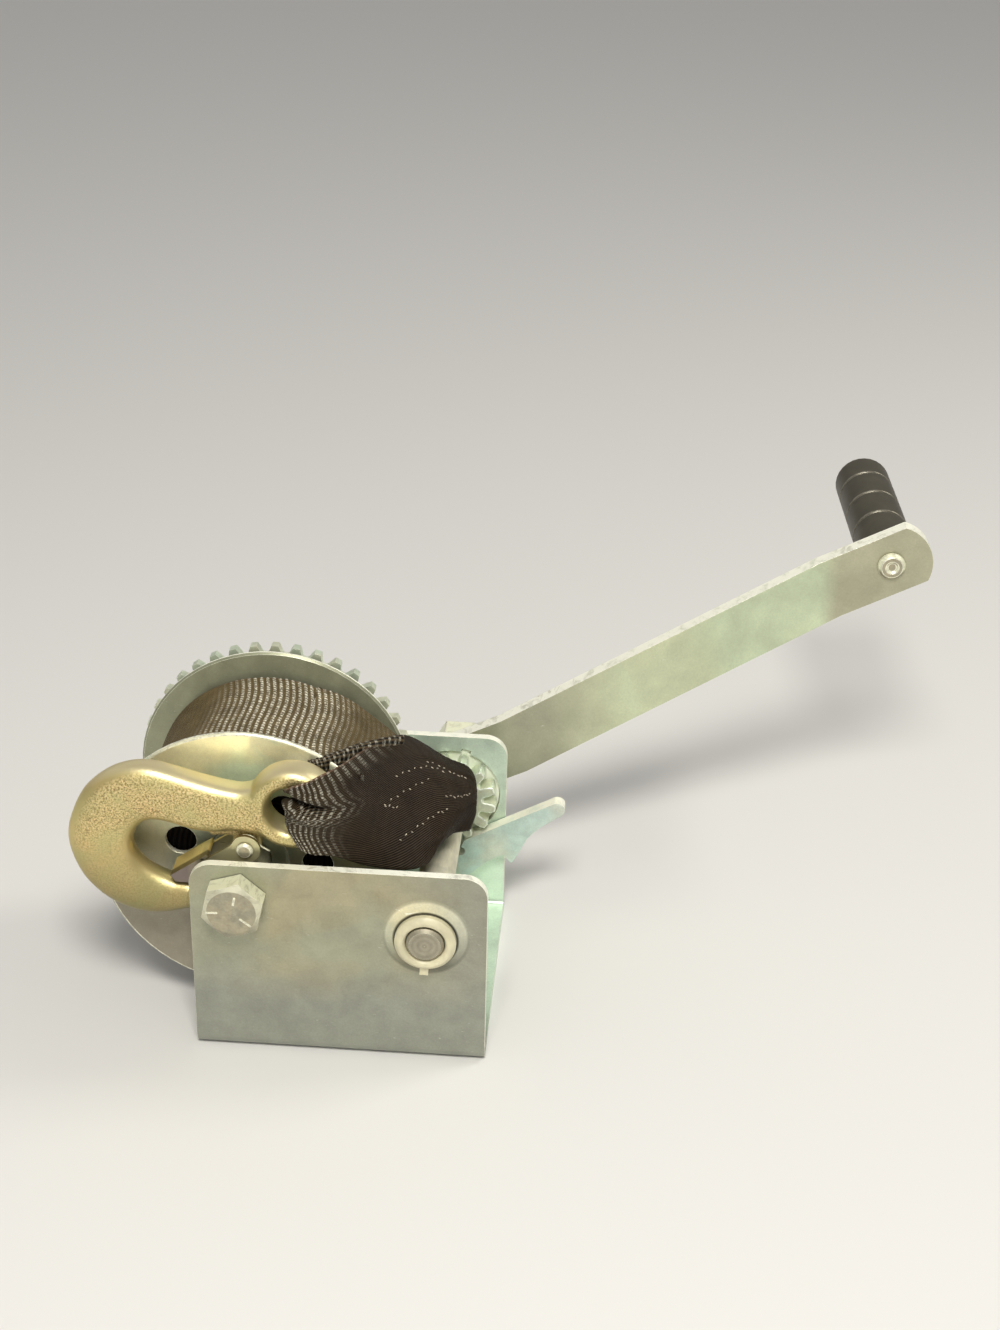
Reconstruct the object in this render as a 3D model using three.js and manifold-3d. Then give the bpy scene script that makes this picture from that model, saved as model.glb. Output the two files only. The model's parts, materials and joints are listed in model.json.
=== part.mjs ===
// A hand-cranked strap winch: a U-shaped steel frame carries a strap drum with a spur gear on a
// through bolt, and a pinion shaft turned by a cranked handle. A pawl, a webbing strap and a
// snap hook with a sprung latch complete it.
//
// Millimetres, +Z up. The frame stands on Z = 0. X runs along the frame, from the drum's end to
// the crank's end, and Y across it, from the plate beside the hook to the plate beside the gear.
// The origin is the middle of the frame's underside.

import * as THREE from 'three';
import { mergeVertices } from 'three/addons/utils/BufferGeometryUtils.js';
import Module from 'manifold-3d';

const wasm = await Module();
wasm.setup();

// ---------------------------------------------------------------- driving dimensions

// Frame: one folded plate.
const frameLength = 100;
const frameWidth = 95.5;
const frameHeight = 75.5;
const plateThickness = 3;
const foldRadius = 5;
const plateCornerRadius = 8;
const mountHoleRadius = 5.3;
const mountHoleSpacing = 60;
const mountHoleFrontX = 34;

// Shafts, seen along Y.
const drumInset = 15.5;
const drumHeight = 62;
const crankDrop = 10.6;

// Gear pair.
const gearModule = 2.453;
const gearTeeth = 40;
const pinionTeeth = 13;
const pressureAngle = THREE.MathUtils.degToRad(25);
const addendum = 0.47 * gearModule;
const gearDedendum = 1.1 * gearModule;
const pinionDedendum = 1.6 * gearModule;
const flankBacklash = 0.2;
const gearThickness = 3.5;
const gearBossRadius = 22;
const pinionNearReach = 0.6;

// Drum.
const strapSideRoom = 1.35;
const nearFlangeRadius = 51.6;
const farFlangeRadius = 49.7;
const flangeThickness = 2;
const flangeFlatRadius = 30;
const nearFlangeFlare = 3.7;
const farFlangeFlare = 2.5;
const drumHubRadius = 13.5;
const flangeHoleRadius = 5.4;
const flangeHoleCircle = 24;
const flangeHoleAngles = [166, 58, -2];
const anchorBoltAngle = 238;
const anchorBoltRadius = 4;
const anchorHeadRadius = 6.6;
const anchorHeadHeight = 4;
const gearRivetCount = 4;
const gearRivetRadius = 2.5;
const gearRivetHeadRadius = 4.2;
const gearRivetHeadHeight = 1.2;
const gearRivetCircle = 18;

// Drum bolt and its sleeve.
const drumBoltRadius = 6.35;
const drumBoltFlats = 19;
const drumBoltHeadHeight = 7.5;
const drumBoltHeadChamfer = 16.6;
const drumBoltHeadTurn = 18;
const drumBoltTail = 2;
const lockNutHeight = 12;
const sleeveRadius = 7.6;

// Crank shaft and its two bearings.
const shaftRadius = 6.35;
const shaftNearReach = 4.8;
const shaftChamfer = 1;
const shaftFlatDepth = 1.35;
const embossRadius = 14;
const embossFlatRadius = 11.6;
const embossHeight = 1.7;
const nearBushFlangeRadius = 10.4;
const nearBushBarrelRadius = 8.2;
const bushFlangeThickness = 1.5;
const farBearingRadius = 17.8;
const farBearingFlange = 20.5;
const farBearingRecess = 1.5;
const keyWidth = 3;
const keyReach = 3;
const farKeyAngle = 74;
const farKeyReach = 1.5;

// Crank.
const crankAngle = 26.3;
const crankLength = 177.3;
const armWidth = 23.4;
const armThickness = 6;
const armHubOffset = 15;
const armFirstBend = 24.2;
const armSecondBend = 152.9;
const armRise = 31.2;
const armEndSlope = 3.4;
const armEndRadius = 15.5;
const armHubEnd = 14;
const crankSpacerRadius = 9.5;
const crankWasherRadius = 12;
const crankWasherThickness = 1.8;
const crankNutFlats = 19;
const crankNutHeight = 10.8;
const crankNutTurn = 60;
const shaftFarTail = 1.5;

// Grip.
const gripRadius = 10.8;
const gripLength = 77;
const gripPinRadius = 4;
const gripPinHeadRadius = 5.2;
const gripPinHeadHeight = 2.6;
const gripGrooveSpacing = 20;
const gripGrooveCount = 3;
const gripGrooveWidth = 1.6;
const gripGrooveDepth = 0.9;
const gripEndChamfer = 2;
const gripRecessRadius = 6.6;
const gripRecessDepth = 3.5;

// Pawl.
const pawlThickness = 5;
const pawlPlateGap = 0.55;
const pawlAhead = 14.37;
const pawlBelow = 21.6;
const pawlLength = 41;
const pawlThumbRadius = 2.9;
const pawlPinRadius = 3;
const pawlPinHeadRadius = 5;
const pawlPinHeadHeight = 1.8;
const pawlNotchRadius = 1.8;
const pawlNotchInset = 1.6;
const pawlNotchDrop = 0.4;
const pawlSkin = 1.6;

// Strap.
const strapThickness = 1.9;
const turnGap = 0.5;
const rollRadius = 42.7;
const strapLeaveAngle = 61;
const strapCoreBore = 14.4;
const tailThickness = 2.9;
const leadCornerTurn = THREE.MathUtils.degToRad(40);

// Hook, in a plane square to Y.
const hookLength = 77;
const hookThickness = 12;
const hookRounding = 3.6;
const eyeAhead = 18.5;
const eyeAbove = 31;
const eyeOuterRadius = 15.4;
const eyeHoleRadius = 8;
const latchBehind = 16;
const latchBelow = 15.6;
const lugThickness = 3;
const lugRadius = 5;
const latchWidth = 11;
const latchSheet = 1.2;
const latchAngle = 215.5;
const latchLength = 28;
const latchSpineStart = 15;
const latchOffset = 5.2;
const latchRivetRadius = 1.9;
const latchRivetHeadRadius = 2.9;
const latchRivetHeadHeight = 1.3;
const latchSpringWire = 0.7;
const latchSpringRadius = 3.9;
const latchSpringTurns = 1.2;
const latchSpringGap = 0.45;

// Clearances.
const hookPlateGap = 3.75;
const hookFlangeGap = 3.1;
const gearPlateGap = 1.95;
const gearFlangeGap = 2.3;
const touchGap = 0.3;
const runGap = 0.4;
const toothGap = 1;

// ---------------------------------------------------------------- places worked out from them

const nearPlateOut = -frameWidth / 2;
const nearPlateIn = nearPlateOut + plateThickness;
const farPlateOut = frameWidth / 2;
const farPlateIn = farPlateOut - plateThickness;

const drumX = -frameLength / 2 + drumInset;
const drumZ = drumHeight;
const gearPitchRadius = (gearModule * gearTeeth) / 2;
const pinionPitchRadius = (gearModule * pinionTeeth) / 2;
const centreDistance = gearPitchRadius + pinionPitchRadius;
const shaftX = drumX + Math.sqrt(centreDistance ** 2 - crankDrop ** 2);
const shaftZ = drumZ - crankDrop;
const meshAngle = Math.atan2(shaftZ - drumZ, shaftX - drumX);
const pinionTipRadius = pinionPitchRadius + addendum;

// Across the frame: the hook beside the near plate, the gear beside the far one, and the drum
// in the room between them. The strap, 50 wide, fills the drum.
const hookPlaneY = nearPlateIn + hookPlateGap + hookThickness / 2;
const nearRimY = hookPlaneY + hookThickness / 2 + hookFlangeGap;
const nearFlangeY = nearRimY + flangeThickness + nearFlangeFlare;
const gearFarY = farPlateIn - gearPlateGap;
const gearNearY = gearFarY - gearThickness;
const farFlangeY = gearNearY - gearFlangeGap - flangeThickness - farFlangeFlare;
const strapNearY = nearFlangeY + strapSideRoom;
const strapFarY = farFlangeY - strapSideRoom;

const eyeX = drumX + eyeAhead;
const eyeZ = drumZ + eyeAbove;
const latchPivotX = eyeX - latchBehind;
const latchPivotZ = eyeZ - latchBelow;
const pawlPivotX = shaftX + pawlAhead;
const pawlPivotZ = shaftZ - pawlBelow;

const embossFace = nearPlateOut - embossHeight;
const nearBushFace = embossFace - bushFlangeThickness - touchGap;
const farBearingFace = farPlateOut + touchGap + bushFlangeThickness;
const farBearingInner = farPlateIn + farBearingRecess;
const armNearY = farPlateOut + armHubOffset;
const armFarY = armNearY + armThickness;
const crankWasherY = armFarY + touchGap;
const crankNutY = crankWasherY + crankWasherThickness + touchGap;
const crankNutEnd = crankNutY + crankNutHeight;

const anchorX = drumX + flangeHoleCircle * Math.cos(THREE.MathUtils.degToRad(anchorBoltAngle));
const anchorZ = drumZ + flangeHoleCircle * Math.sin(THREE.MathUtils.degToRad(anchorBoltAngle));

// ---------------------------------------------------------------- materials

const zinc = () => new THREE.MeshStandardMaterial({ color: 0xb9bda6, roughness: 0.38, metalness: 0.8 });
const steel = () => new THREE.MeshStandardMaterial({ color: 0xa8a594, roughness: 0.5, metalness: 0.8 });
const gold = () => new THREE.MeshStandardMaterial({ color: 0xcfae62, roughness: 0.42, metalness: 0.75 });
const webbing = () => new THREE.MeshStandardMaterial({ color: 0x2b2725, roughness: 0.8, metalness: 0 });
const plastic = () => new THREE.MeshStandardMaterial({ color: 0x2e2f2c, roughness: 0.55, metalness: 0 });
const nylon = () => new THREE.MeshStandardMaterial({ color: 0xd4d0b6, roughness: 0.6, metalness: 0 });

// ---------------------------------------------------------------- helpers

const winch = new THREE.Group();

function place(name, geometry, material, parent = winch) {
  const mesh = new THREE.Mesh(geometry, material);
  mesh.name = name;
  parent.add(mesh);
  return mesh;
}

// A closed geometry with shared vertices and its faces pointing out.
function closed(geometry) {
  const bare = geometry.clone();
  bare.deleteAttribute('normal');
  bare.deleteAttribute('uv');
  const merged = mergeVertices(bare, 1e-4);
  const p = merged.attributes.position;
  const index = merged.index.array;
  const [a, b, c] = [new THREE.Vector3(), new THREE.Vector3(), new THREE.Vector3()];
  let volume = 0;
  for (let i = 0; i < index.length; i += 3) {
    a.fromBufferAttribute(p, index[i]);
    b.fromBufferAttribute(p, index[i + 1]);
    c.fromBufferAttribute(p, index[i + 2]);
    volume += a.dot(b.cross(c));
  }
  if (volume < 0) {
    for (let i = 0; i < index.length; i += 3) {
      [index[i], index[i + 1]] = [index[i + 1], index[i]];
    }
  }
  return merged;
}

function toManifold(geometry) {
  const g = closed(geometry);
  return new wasm.Manifold(new wasm.Mesh({
    numProp: 3,
    vertProperties: new Float32Array(g.attributes.position.array),
    triVerts: new Uint32Array(g.index.array),
  }));
}

function fromManifold(solid) {
  const mesh = solid.getMesh();
  const g = new THREE.BufferGeometry();
  g.setAttribute('position', new THREE.BufferAttribute(mesh.vertProperties, 3));
  g.setIndex(new THREE.BufferAttribute(mesh.triVerts, 1));
  return g;
}

function cut(base, ...tools) {
  return fromManifold(tools.reduce((s, tool) => s.subtract(toManifold(tool)), toManifold(base)));
}

function join(base, ...others) {
  return fromManifold(others.reduce((s, other) => s.add(toManifold(other)), toManifold(base)));
}

function common(base, other) {
  return fromManifold(toManifold(base).intersect(toManifold(other)));
}

// A shape drawn in X and Z, as thick as from y0 to y1.
function slabY(shape, y0, y1, options = {}) {
  const bevel = options.bevel ?? 0;
  const g = new THREE.ExtrudeGeometry(shape, {
    depth: y1 - y0 - 2 * bevel,
    bevelEnabled: bevel > 0,
    bevelThickness: bevel,
    bevelSize: bevel,
    bevelOffset: -bevel,
    bevelSegments: options.bevelSegments ?? 2,
    curveSegments: options.curveSegments ?? 10,
  });
  g.rotateX(Math.PI / 2);
  return closed(g.translate(0, y1 - bevel, 0));
}

// A profile of [radius, y] points turned about an axis along Y.
function turned(profile, segments = 36, x = 0, z = 0) {
  const points = profile.map(([r, y]) => new THREE.Vector2(r, y));
  return closed(new THREE.LatheGeometry(points, segments).translate(x, 0, z));
}

// A plain round bar along Y.
function bar(radius, y0, y1, x = 0, z = 0, segments = 24) {
  return turned([[0, y0], [radius, y0], [radius, y1], [0, y1]], segments, x, z);
}

// A ring along Y whose profile closes on itself.
function ring(inner, outer, y0, y1, x = 0, z = 0, segments = 30) {
  return turned([[inner, y0], [outer, y0], [outer, y1], [inner, y1], [inner, y0]], segments, x, z);
}

function box(x0, x1, y0, y1, z0, z1) {
  const g = new THREE.BoxGeometry(x1 - x0, y1 - y0, z1 - z0);
  return closed(g.translate((x0 + x1) / 2, (y0 + y1) / 2, (z0 + z1) / 2));
}

// A hexagonal prism along Y, its first corner at the given angle.
function hexagon(flats, y0, y1, x, z, turn = 0) {
  const corner = flats / Math.sqrt(3);
  const shape = new THREE.Shape();
  for (let i = 0; i < 6; i++) {
    const angle = THREE.MathUtils.degToRad(turn + 60 * i);
    const point = [x + corner * Math.cos(angle), z + corner * Math.sin(angle)];
    if (i === 0) shape.moveTo(...point);
    else shape.lineTo(...point);
  }
  shape.closePath();
  return slabY(shape, y0, y1);
}

function polygon(points) {
  return new THREE.Shape(points.map(([x, z]) => new THREE.Vector2(x, z)));
}

// A small key on a bush's edge, at an angle round its axis.
function bushKey(radius, reach, angle, y0, y1, x, z, width = keyWidth) {
  const g = new THREE.BoxGeometry(radius + reach, y1 - y0, width);
  g.translate((radius + reach) / 2, (y0 + y1) / 2, 0);
  g.rotateY(-THREE.MathUtils.degToRad(angle));
  return closed(g.translate(x, 0, z));
}

const direction = (degrees) => {
  const angle = THREE.MathUtils.degToRad(degrees);
  return [Math.cos(angle), Math.sin(angle)];
};

// ---------------------------------------------------------------- frame

function frame() {
  // The U section in Y and Z, with round folds.
  const section = new THREE.Shape();
  const innerFold = foldRadius - plateThickness;
  section.moveTo(nearPlateOut, frameHeight);
  section.lineTo(nearPlateOut, foldRadius);
  section.absarc(nearPlateOut + foldRadius, foldRadius, foldRadius, Math.PI, 1.5 * Math.PI);
  section.lineTo(farPlateOut - foldRadius, 0);
  section.absarc(farPlateOut - foldRadius, foldRadius, foldRadius, 1.5 * Math.PI, 2 * Math.PI);
  section.lineTo(farPlateOut, frameHeight);
  section.lineTo(farPlateIn, frameHeight);
  section.lineTo(farPlateIn, foldRadius);
  section.absarc(farPlateOut - foldRadius, foldRadius, innerFold, 2 * Math.PI, 1.5 * Math.PI, true);
  section.lineTo(nearPlateOut + foldRadius, plateThickness);
  section.absarc(nearPlateOut + foldRadius, foldRadius, innerFold, 1.5 * Math.PI, Math.PI, true);
  section.lineTo(nearPlateIn, frameHeight);
  section.closePath();
  const channel = new THREE.ExtrudeGeometry(section, {
    depth: frameLength, bevelEnabled: false, curveSegments: 5,
  });
  const axes = new THREE.Matrix4().makeBasis(
    new THREE.Vector3(0, 1, 0), new THREE.Vector3(0, 0, 1), new THREE.Vector3(1, 0, 0));
  channel.applyMatrix4(axes).translate(-frameLength / 2, 0, 0);

  // The plates' outline seen along Y, with round top corners.
  const outline = new THREE.Shape();
  const end = frameLength / 2;
  const r = plateCornerRadius;
  outline.moveTo(-end, -1);
  outline.lineTo(end, -1);
  outline.lineTo(end, frameHeight - r);
  outline.absarc(end - r, frameHeight - r, r, 0, Math.PI / 2);
  outline.absarc(-end + r, frameHeight - r, r, Math.PI / 2, Math.PI);
  outline.closePath();
  const envelope = slabY(outline, nearPlateOut - 1, farPlateOut + 1, { curveSegments: 6 });

  // A round boss pressed out of the near plate round the shaft, hollow behind.
  const overlap = 0.5;
  const boss = turned([[0, embossFace], [embossFlatRadius, embossFace],
    [embossRadius, nearPlateOut], [embossRadius, nearPlateOut + overlap],
    [0, nearPlateOut + overlap]], 40, shaftX, shaftZ);
  const hollow = turned([[0, embossFace + plateThickness],
    [embossFlatRadius - 1, embossFace + plateThickness],
    [embossRadius - 1, nearPlateIn], [embossRadius - 1, nearPlateIn + 1],
    [0, nearPlateIn + 1]], 40, shaftX, shaftZ);

  const through = [nearPlateOut - 5, farPlateOut + 5];
  const holes = [
    bar(drumBoltRadius + touchGap, through[0], through[1], drumX, drumZ, 32),
    bar(nearBushBarrelRadius + touchGap, through[0], 0, shaftX, shaftZ, 32),
    bar(farBearingRadius + touchGap, 0, through[1], shaftX, shaftZ, 48),
    bushKey(farBearingRadius, farKeyReach + touchGap, farKeyAngle, 0, through[1], shaftX, shaftZ,
      keyWidth + 2 * touchGap),
    bar(pawlPinRadius + touchGap, 0, through[1], pawlPivotX, pawlPivotZ),
  ];
  const mountHoles = [
    [mountHoleFrontX, 0],
    [mountHoleFrontX - mountHoleSpacing, mountHoleSpacing / 3],
    [mountHoleFrontX - mountHoleSpacing, -mountHoleSpacing / 3],
  ].map(([x, y]) => {
    const hole = new THREE.CylinderGeometry(mountHoleRadius, mountHoleRadius, 3 * plateThickness, 24);
    return hole.rotateX(Math.PI / 2).translate(x, y, plateThickness / 2);
  });
  const body = join(common(channel, envelope), boss);
  place('frame', cut(body, hollow, ...holes, ...mountHoles), zinc());
}

// ---------------------------------------------------------------- drum bolt and sleeve

function drumBolt() {
  const head = nearPlateOut - touchGap;
  const headFace = head - drumBoltHeadHeight;
  const tail = farPlateOut + touchGap + lockNutHeight + drumBoltTail;
  const corner = drumBoltFlats / Math.sqrt(3);
  const chamferLength = (corner - drumBoltHeadChamfer / 2) * 0.5;
  const cone = turned([[0, headFace], [drumBoltHeadChamfer / 2, headFace],
    [corner + 0.01, headFace + chamferLength], [corner + 0.01, head], [0, head]], 36, drumX, drumZ);
  const hex = hexagon(drumBoltFlats, headFace, head, drumX, drumZ, drumBoltHeadTurn);
  const shank = turned([[0, head - 1], [drumBoltRadius, head - 1], [drumBoltRadius, tail - 1],
    [drumBoltRadius - 1, tail], [0, tail]], 32, drumX, drumZ);
  place('drum_bolt', join(common(hex, cone), shank), zinc());

  const nutStart = farPlateOut + touchGap;
  const nutHex = hexagon(drumBoltFlats, nutStart, nutStart + lockNutHeight - 4, drumX, drumZ, 10);
  const collar = turned([[0, nutStart + 1], [drumBoltFlats / 2 - 0.4, nutStart + 1],
    [drumBoltFlats / 2 - 0.4, nutStart + lockNutHeight - 1.5],
    [drumBoltFlats / 2 - 2, nutStart + lockNutHeight], [0, nutStart + lockNutHeight]],
    32, drumX, drumZ);
  const bore = bar(drumBoltRadius + touchGap, nutStart - 1, tail, drumX, drumZ, 32);
  place('drum_lock_nut', cut(join(nutHex, collar), bore), zinc());

  place('drum_sleeve', ring(drumBoltRadius + touchGap, sleeveRadius,
    nearPlateIn + touchGap, farPlateIn - touchGap, drumX, drumZ), steel());
}

// ---------------------------------------------------------------- gear teeth

// The outline of a toothed wheel, with one tooth centred on the given angle.
function toothedOutline(teeth, dedendum, phase, x, z) {
  const pitchRadius = (gearModule * teeth) / 2;
  const baseRadius = pitchRadius * Math.cos(pressureAngle);
  const rootRadius = pitchRadius - dedendum;
  const tipRadius = pitchRadius + addendum;
  const involute = (angle) => Math.tan(angle) - angle;
  const halfAngle = (radius) => {
    const angle = Math.acos(Math.min(1, baseRadius / Math.max(radius, baseRadius)));
    const atPitch = Math.PI / (2 * teeth) - flankBacklash / pitchRadius;
    return atPitch + involute(pressureAngle) - involute(angle);
  };
  const foot = Math.max(rootRadius + 0.4, baseRadius);
  const radii = [rootRadius, foot, (foot + tipRadius) / 2, tipRadius];
  const spread = (radius) => halfAngle(radius) + (radius === rootRadius ? 0.35 / radius : 0);
  const points = [];
  for (let tooth = 0; tooth < teeth; tooth++) {
    const centre = phase + (2 * Math.PI * tooth) / teeth;
    for (const radius of radii) {
      const angle = centre - spread(radius);
      points.push([x + radius * Math.cos(angle), z + radius * Math.sin(angle)]);
    }
    for (const radius of [...radii].reverse()) {
      const angle = centre + spread(radius);
      points.push([x + radius * Math.cos(angle), z + radius * Math.sin(angle)]);
    }
  }
  return polygon(points);
}

// ---------------------------------------------------------------- drum

function drum() {
  const hubBore = sleeveRadius + runGap;
  const hubNear = nearFlangeY - flangeThickness;
  place('drum_hub', ring(hubBore, drumHubRadius, hubNear, gearFarY, drumX, drumZ), zinc());

  const bore = drumHubRadius + touchGap;
  const lip = 0.7;
  const dished = (radius, flat, side, flare) => {
    const out = flat + side * flangeThickness;
    const rimIn = flat + side * flare;
    const rimOut = out + side * flare;
    return turned([[bore, flat], [flangeFlatRadius, flat], [radius - lip, rimIn],
      [radius, rimIn + side * lip], [radius, rimOut - side * lip], [radius - lip, rimOut],
      [flangeFlatRadius, out], [bore, out], [bore, flat]], 64, drumX, drumZ);
  };
  const reach = [nearFlangeY - 10, gearFarY + 5];
  const strapHoles = flangeHoleAngles.map((degrees) => {
    const [c, s] = direction(degrees);
    return bar(flangeHoleRadius, ...reach, drumX + flangeHoleCircle * c,
      drumZ + flangeHoleCircle * s, 20);
  });
  const anchorHole = bar(anchorBoltRadius + touchGap, ...reach, anchorX, anchorZ);
  const rivetPlaces = Array.from({ length: gearRivetCount }, (_, i) => {
    const [c, s] = direction(30 + (360 / gearRivetCount) * i);
    return [drumX + gearRivetCircle * c, drumZ + gearRivetCircle * s];
  });
  const rivetHoles = rivetPlaces.map(([x, z]) => bar(
    gearRivetRadius + touchGap, farFlangeY - 1, gearFarY + 5, x, z, 16));

  place('near_flange', cut(dished(nearFlangeRadius, nearFlangeY, -1, nearFlangeFlare),
    ...strapHoles, anchorHole), zinc());
  place('far_flange', cut(dished(farFlangeRadius, farFlangeY, 1, farFlangeFlare),
    ...strapHoles, anchorHole, ...rivetHoles), zinc());

  const web = slabY(toothedOutline(gearTeeth, gearDedendum, meshAngle, drumX, drumZ),
    gearNearY, gearFarY);
  const boss = bar(gearBossRadius, farFlangeY + flangeThickness + touchGap, gearNearY + 1,
    drumX, drumZ, 40);
  const gearBore = bar(bore, farFlangeY, gearFarY + 5, drumX, drumZ, 36);
  const bossAnchorHole = bar(anchorHeadRadius + touchGap, ...reach, anchorX, anchorZ);
  place('drum_gear', cut(join(web, boss), gearBore, bossAnchorHole, ...rivetHoles), zinc());

  rivetPlaces.forEach(([x, z], i) => {
    const head = gearFarY + touchGap;
    place(`gear_rivet_${i + 1}`, turned([[0, farFlangeY + touchGap],
      [gearRivetRadius, farFlangeY + touchGap], [gearRivetRadius, head],
      [gearRivetHeadRadius, head], [gearRivetHeadRadius - 0.8, head + gearRivetHeadHeight],
      [0, head + gearRivetHeadHeight]], 16, x, z), zinc());
  });
}

// The bolt through both flanges that the strap's inner loop is held by.
function anchorBolt() {
  const flangeOut = nearFlangeY - flangeThickness;
  const head = flangeOut - touchGap;
  const nutStart = farFlangeY + flangeThickness + touchGap;
  const tail = nutStart + anchorHeadHeight;
  const shank = bar(anchorBoltRadius, head - 1, tail, anchorX, anchorZ);
  const headHex = hexagon(2 * anchorHeadRadius * Math.cos(Math.PI / 6),
    head - anchorHeadHeight + 1, head, anchorX, anchorZ, 20);
  place('strap_anchor_bolt', join(headHex, shank), zinc());
  const nut = hexagon(2 * anchorHeadRadius * Math.cos(Math.PI / 6) - touchGap,
    nutStart, tail, anchorX, anchorZ, 5);
  place('strap_anchor_nut', cut(nut,
    bar(anchorBoltRadius + touchGap, nutStart - 1, tail + 1, anchorX, anchorZ)), zinc());
}

// ---------------------------------------------------------------- wound strap

// The radius of the roll's outer surface, a turn of strap less all the way round.
function rollSurface(turnsBack) {
  return rollRadius - strapThickness * turnsBack;
}

// The roll's outline from the place where the strap leaves it, back round nearly one turn.
function spiralPoints(inset, stopShort) {
  const steps = 64;
  const turns = 1 - stopShort / 360;
  return Array.from({ length: steps + 1 }, (_, i) => {
    const turnsBack = (turns * i) / steps;
    const [c, s] = direction(strapLeaveAngle + 360 * turnsBack);
    const radius = rollSurface(turnsBack) - inset;
    return [drumX + radius * c, drumZ + radius * s];
  });
}

// The least distance between two lists of points.
function leastGap(some, others) {
  return Math.min(...some.flatMap(([x, z]) => others.map(([u, w]) => Math.hypot(x - u, z - w))));
}

function woundStrap() {
  // The outer turn is one strip that climbs a strap's thickness in its turn.
  const outside = spiralPoints(0, 1);
  const inside = spiralPoints(strapThickness - turnGap, 1);
  console.log('least gap of the outer turn to itself, mm:',
    leastGap(outside.slice(-2), inside.slice(0, 2)).toFixed(3));
  const strip = polygon([...outside, ...inside.reverse()]);
  place('strap_outer_turn', slabY(strip, strapNearY, strapFarY), webbing());

  // The turns below it are a plain core with the same step.
  const core = polygon(spiralPoints(strapThickness, 0.4));
  const bore = bar(strapCoreBore, strapNearY - 1, strapFarY + 1, drumX, drumZ, 36);
  const anchorHole = bar(anchorBoltRadius + touchGap, strapNearY - 1, strapFarY + 1, anchorX, anchorZ);
  place('strap_core', cut(slabY(core, strapNearY, strapFarY), bore, anchorHole), webbing());
}

// ---------------------------------------------------------------- crank shaft and bearings

function crankShaft(crank) {
  const nearEnd = nearBushFace - (shaftNearReach - bushFlangeThickness - embossHeight) - touchGap;
  const farEnd = crankNutEnd + shaftFarTail;
  const body = turned([[0, nearEnd], [shaftRadius - shaftChamfer, nearEnd],
    [shaftRadius, nearEnd + shaftChamfer], [shaftRadius, farEnd - shaftChamfer],
    [shaftRadius - shaftChamfer, farEnd], [0, farEnd]], 32, shaftX, shaftZ);
  const flats = [-1, 1].map((side) => {
    const edge = side * (shaftRadius - shaftFlatDepth);
    const g = box(Math.min(edge, 2 * edge), Math.max(edge, 2 * edge),
      armNearY - touchGap, armFarY + touchGap, -shaftRadius * 2, shaftRadius * 2);
    return g.rotateY(-THREE.MathUtils.degToRad(crankAngle)).translate(shaftX, 0, shaftZ);
  });
  place('pinion_shaft', cut(body, ...flats), steel(), crank);

  // It reaches past the gear's near face, and far enough into the plate to meet the bearing.
  const pinionFar = farBearingInner - touchGap;
  const gap = meshAngle + Math.PI + Math.PI / pinionTeeth;
  const teeth = slabY(toothedOutline(pinionTeeth, pinionDedendum, gap, shaftX, shaftZ),
    gearNearY - pinionNearReach, pinionFar);
  place('pinion', cut(teeth, bar(shaftRadius + touchGap, 0, farPlateOut, shaftX, shaftZ, 32)),
    zinc(), crank);

  place('crank_spacer', ring(shaftRadius + touchGap, crankSpacerRadius,
    farBearingFace + touchGap, armNearY - touchGap, shaftX, shaftZ), steel(), crank);
  place('crank_washer', ring(shaftRadius + touchGap, crankWasherRadius,
    crankWasherY, crankWasherY + crankWasherThickness, shaftX, shaftZ), zinc(), crank);
  place('crank_nut', cut(
    hexagon(crankNutFlats, crankNutY, crankNutEnd, shaftX, shaftZ, crankNutTurn),
    bar(shaftRadius + touchGap, armFarY, crankNutEnd + 5, shaftX, shaftZ, 32)), zinc(), crank);
}

function bearings() {
  const bore = shaftRadius + runGap;
  const flangeIn = embossFace - touchGap;
  const nearBush = turned([[bore, nearBushFace], [nearBushFlangeRadius - 0.6, nearBushFace],
    [nearBushFlangeRadius, nearBushFace + 0.6], [nearBushFlangeRadius, flangeIn],
    [nearBushBarrelRadius, flangeIn], [nearBushBarrelRadius, embossFace + plateThickness],
    [bore, embossFace + plateThickness], [bore, nearBushFace]], 40, shaftX, shaftZ);
  const key = bushKey(nearBushFlangeRadius, keyReach, -92, nearBushFace + 0.3, flangeIn,
    shaftX, shaftZ);
  const clear = bar(bore, nearPlateOut - 20, farPlateOut, shaftX, shaftZ, 40);
  place('near_bush', cut(join(nearBush, key), clear), nylon());

  const plug = turned([[0, farBearingInner], [farBearingRadius, farBearingInner],
    [farBearingRadius, farPlateOut + touchGap], [farBearingFlange, farPlateOut + touchGap],
    [farBearingFlange, farBearingFace - 0.5], [farBearingFlange - 0.5, farBearingFace],
    [0, farBearingFace]], 48, shaftX, shaftZ);
  const farKey = bushKey(farBearingRadius, farKeyReach, farKeyAngle, farBearingInner, farPlateOut,
    shaftX, shaftZ);
  place('far_bearing', cut(join(plug, farKey),
    bar(bore, farPlateIn - 5, farBearingFace + 5, shaftX, shaftZ, 40)), nylon());
}

// ---------------------------------------------------------------- crank arm and grip

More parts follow.
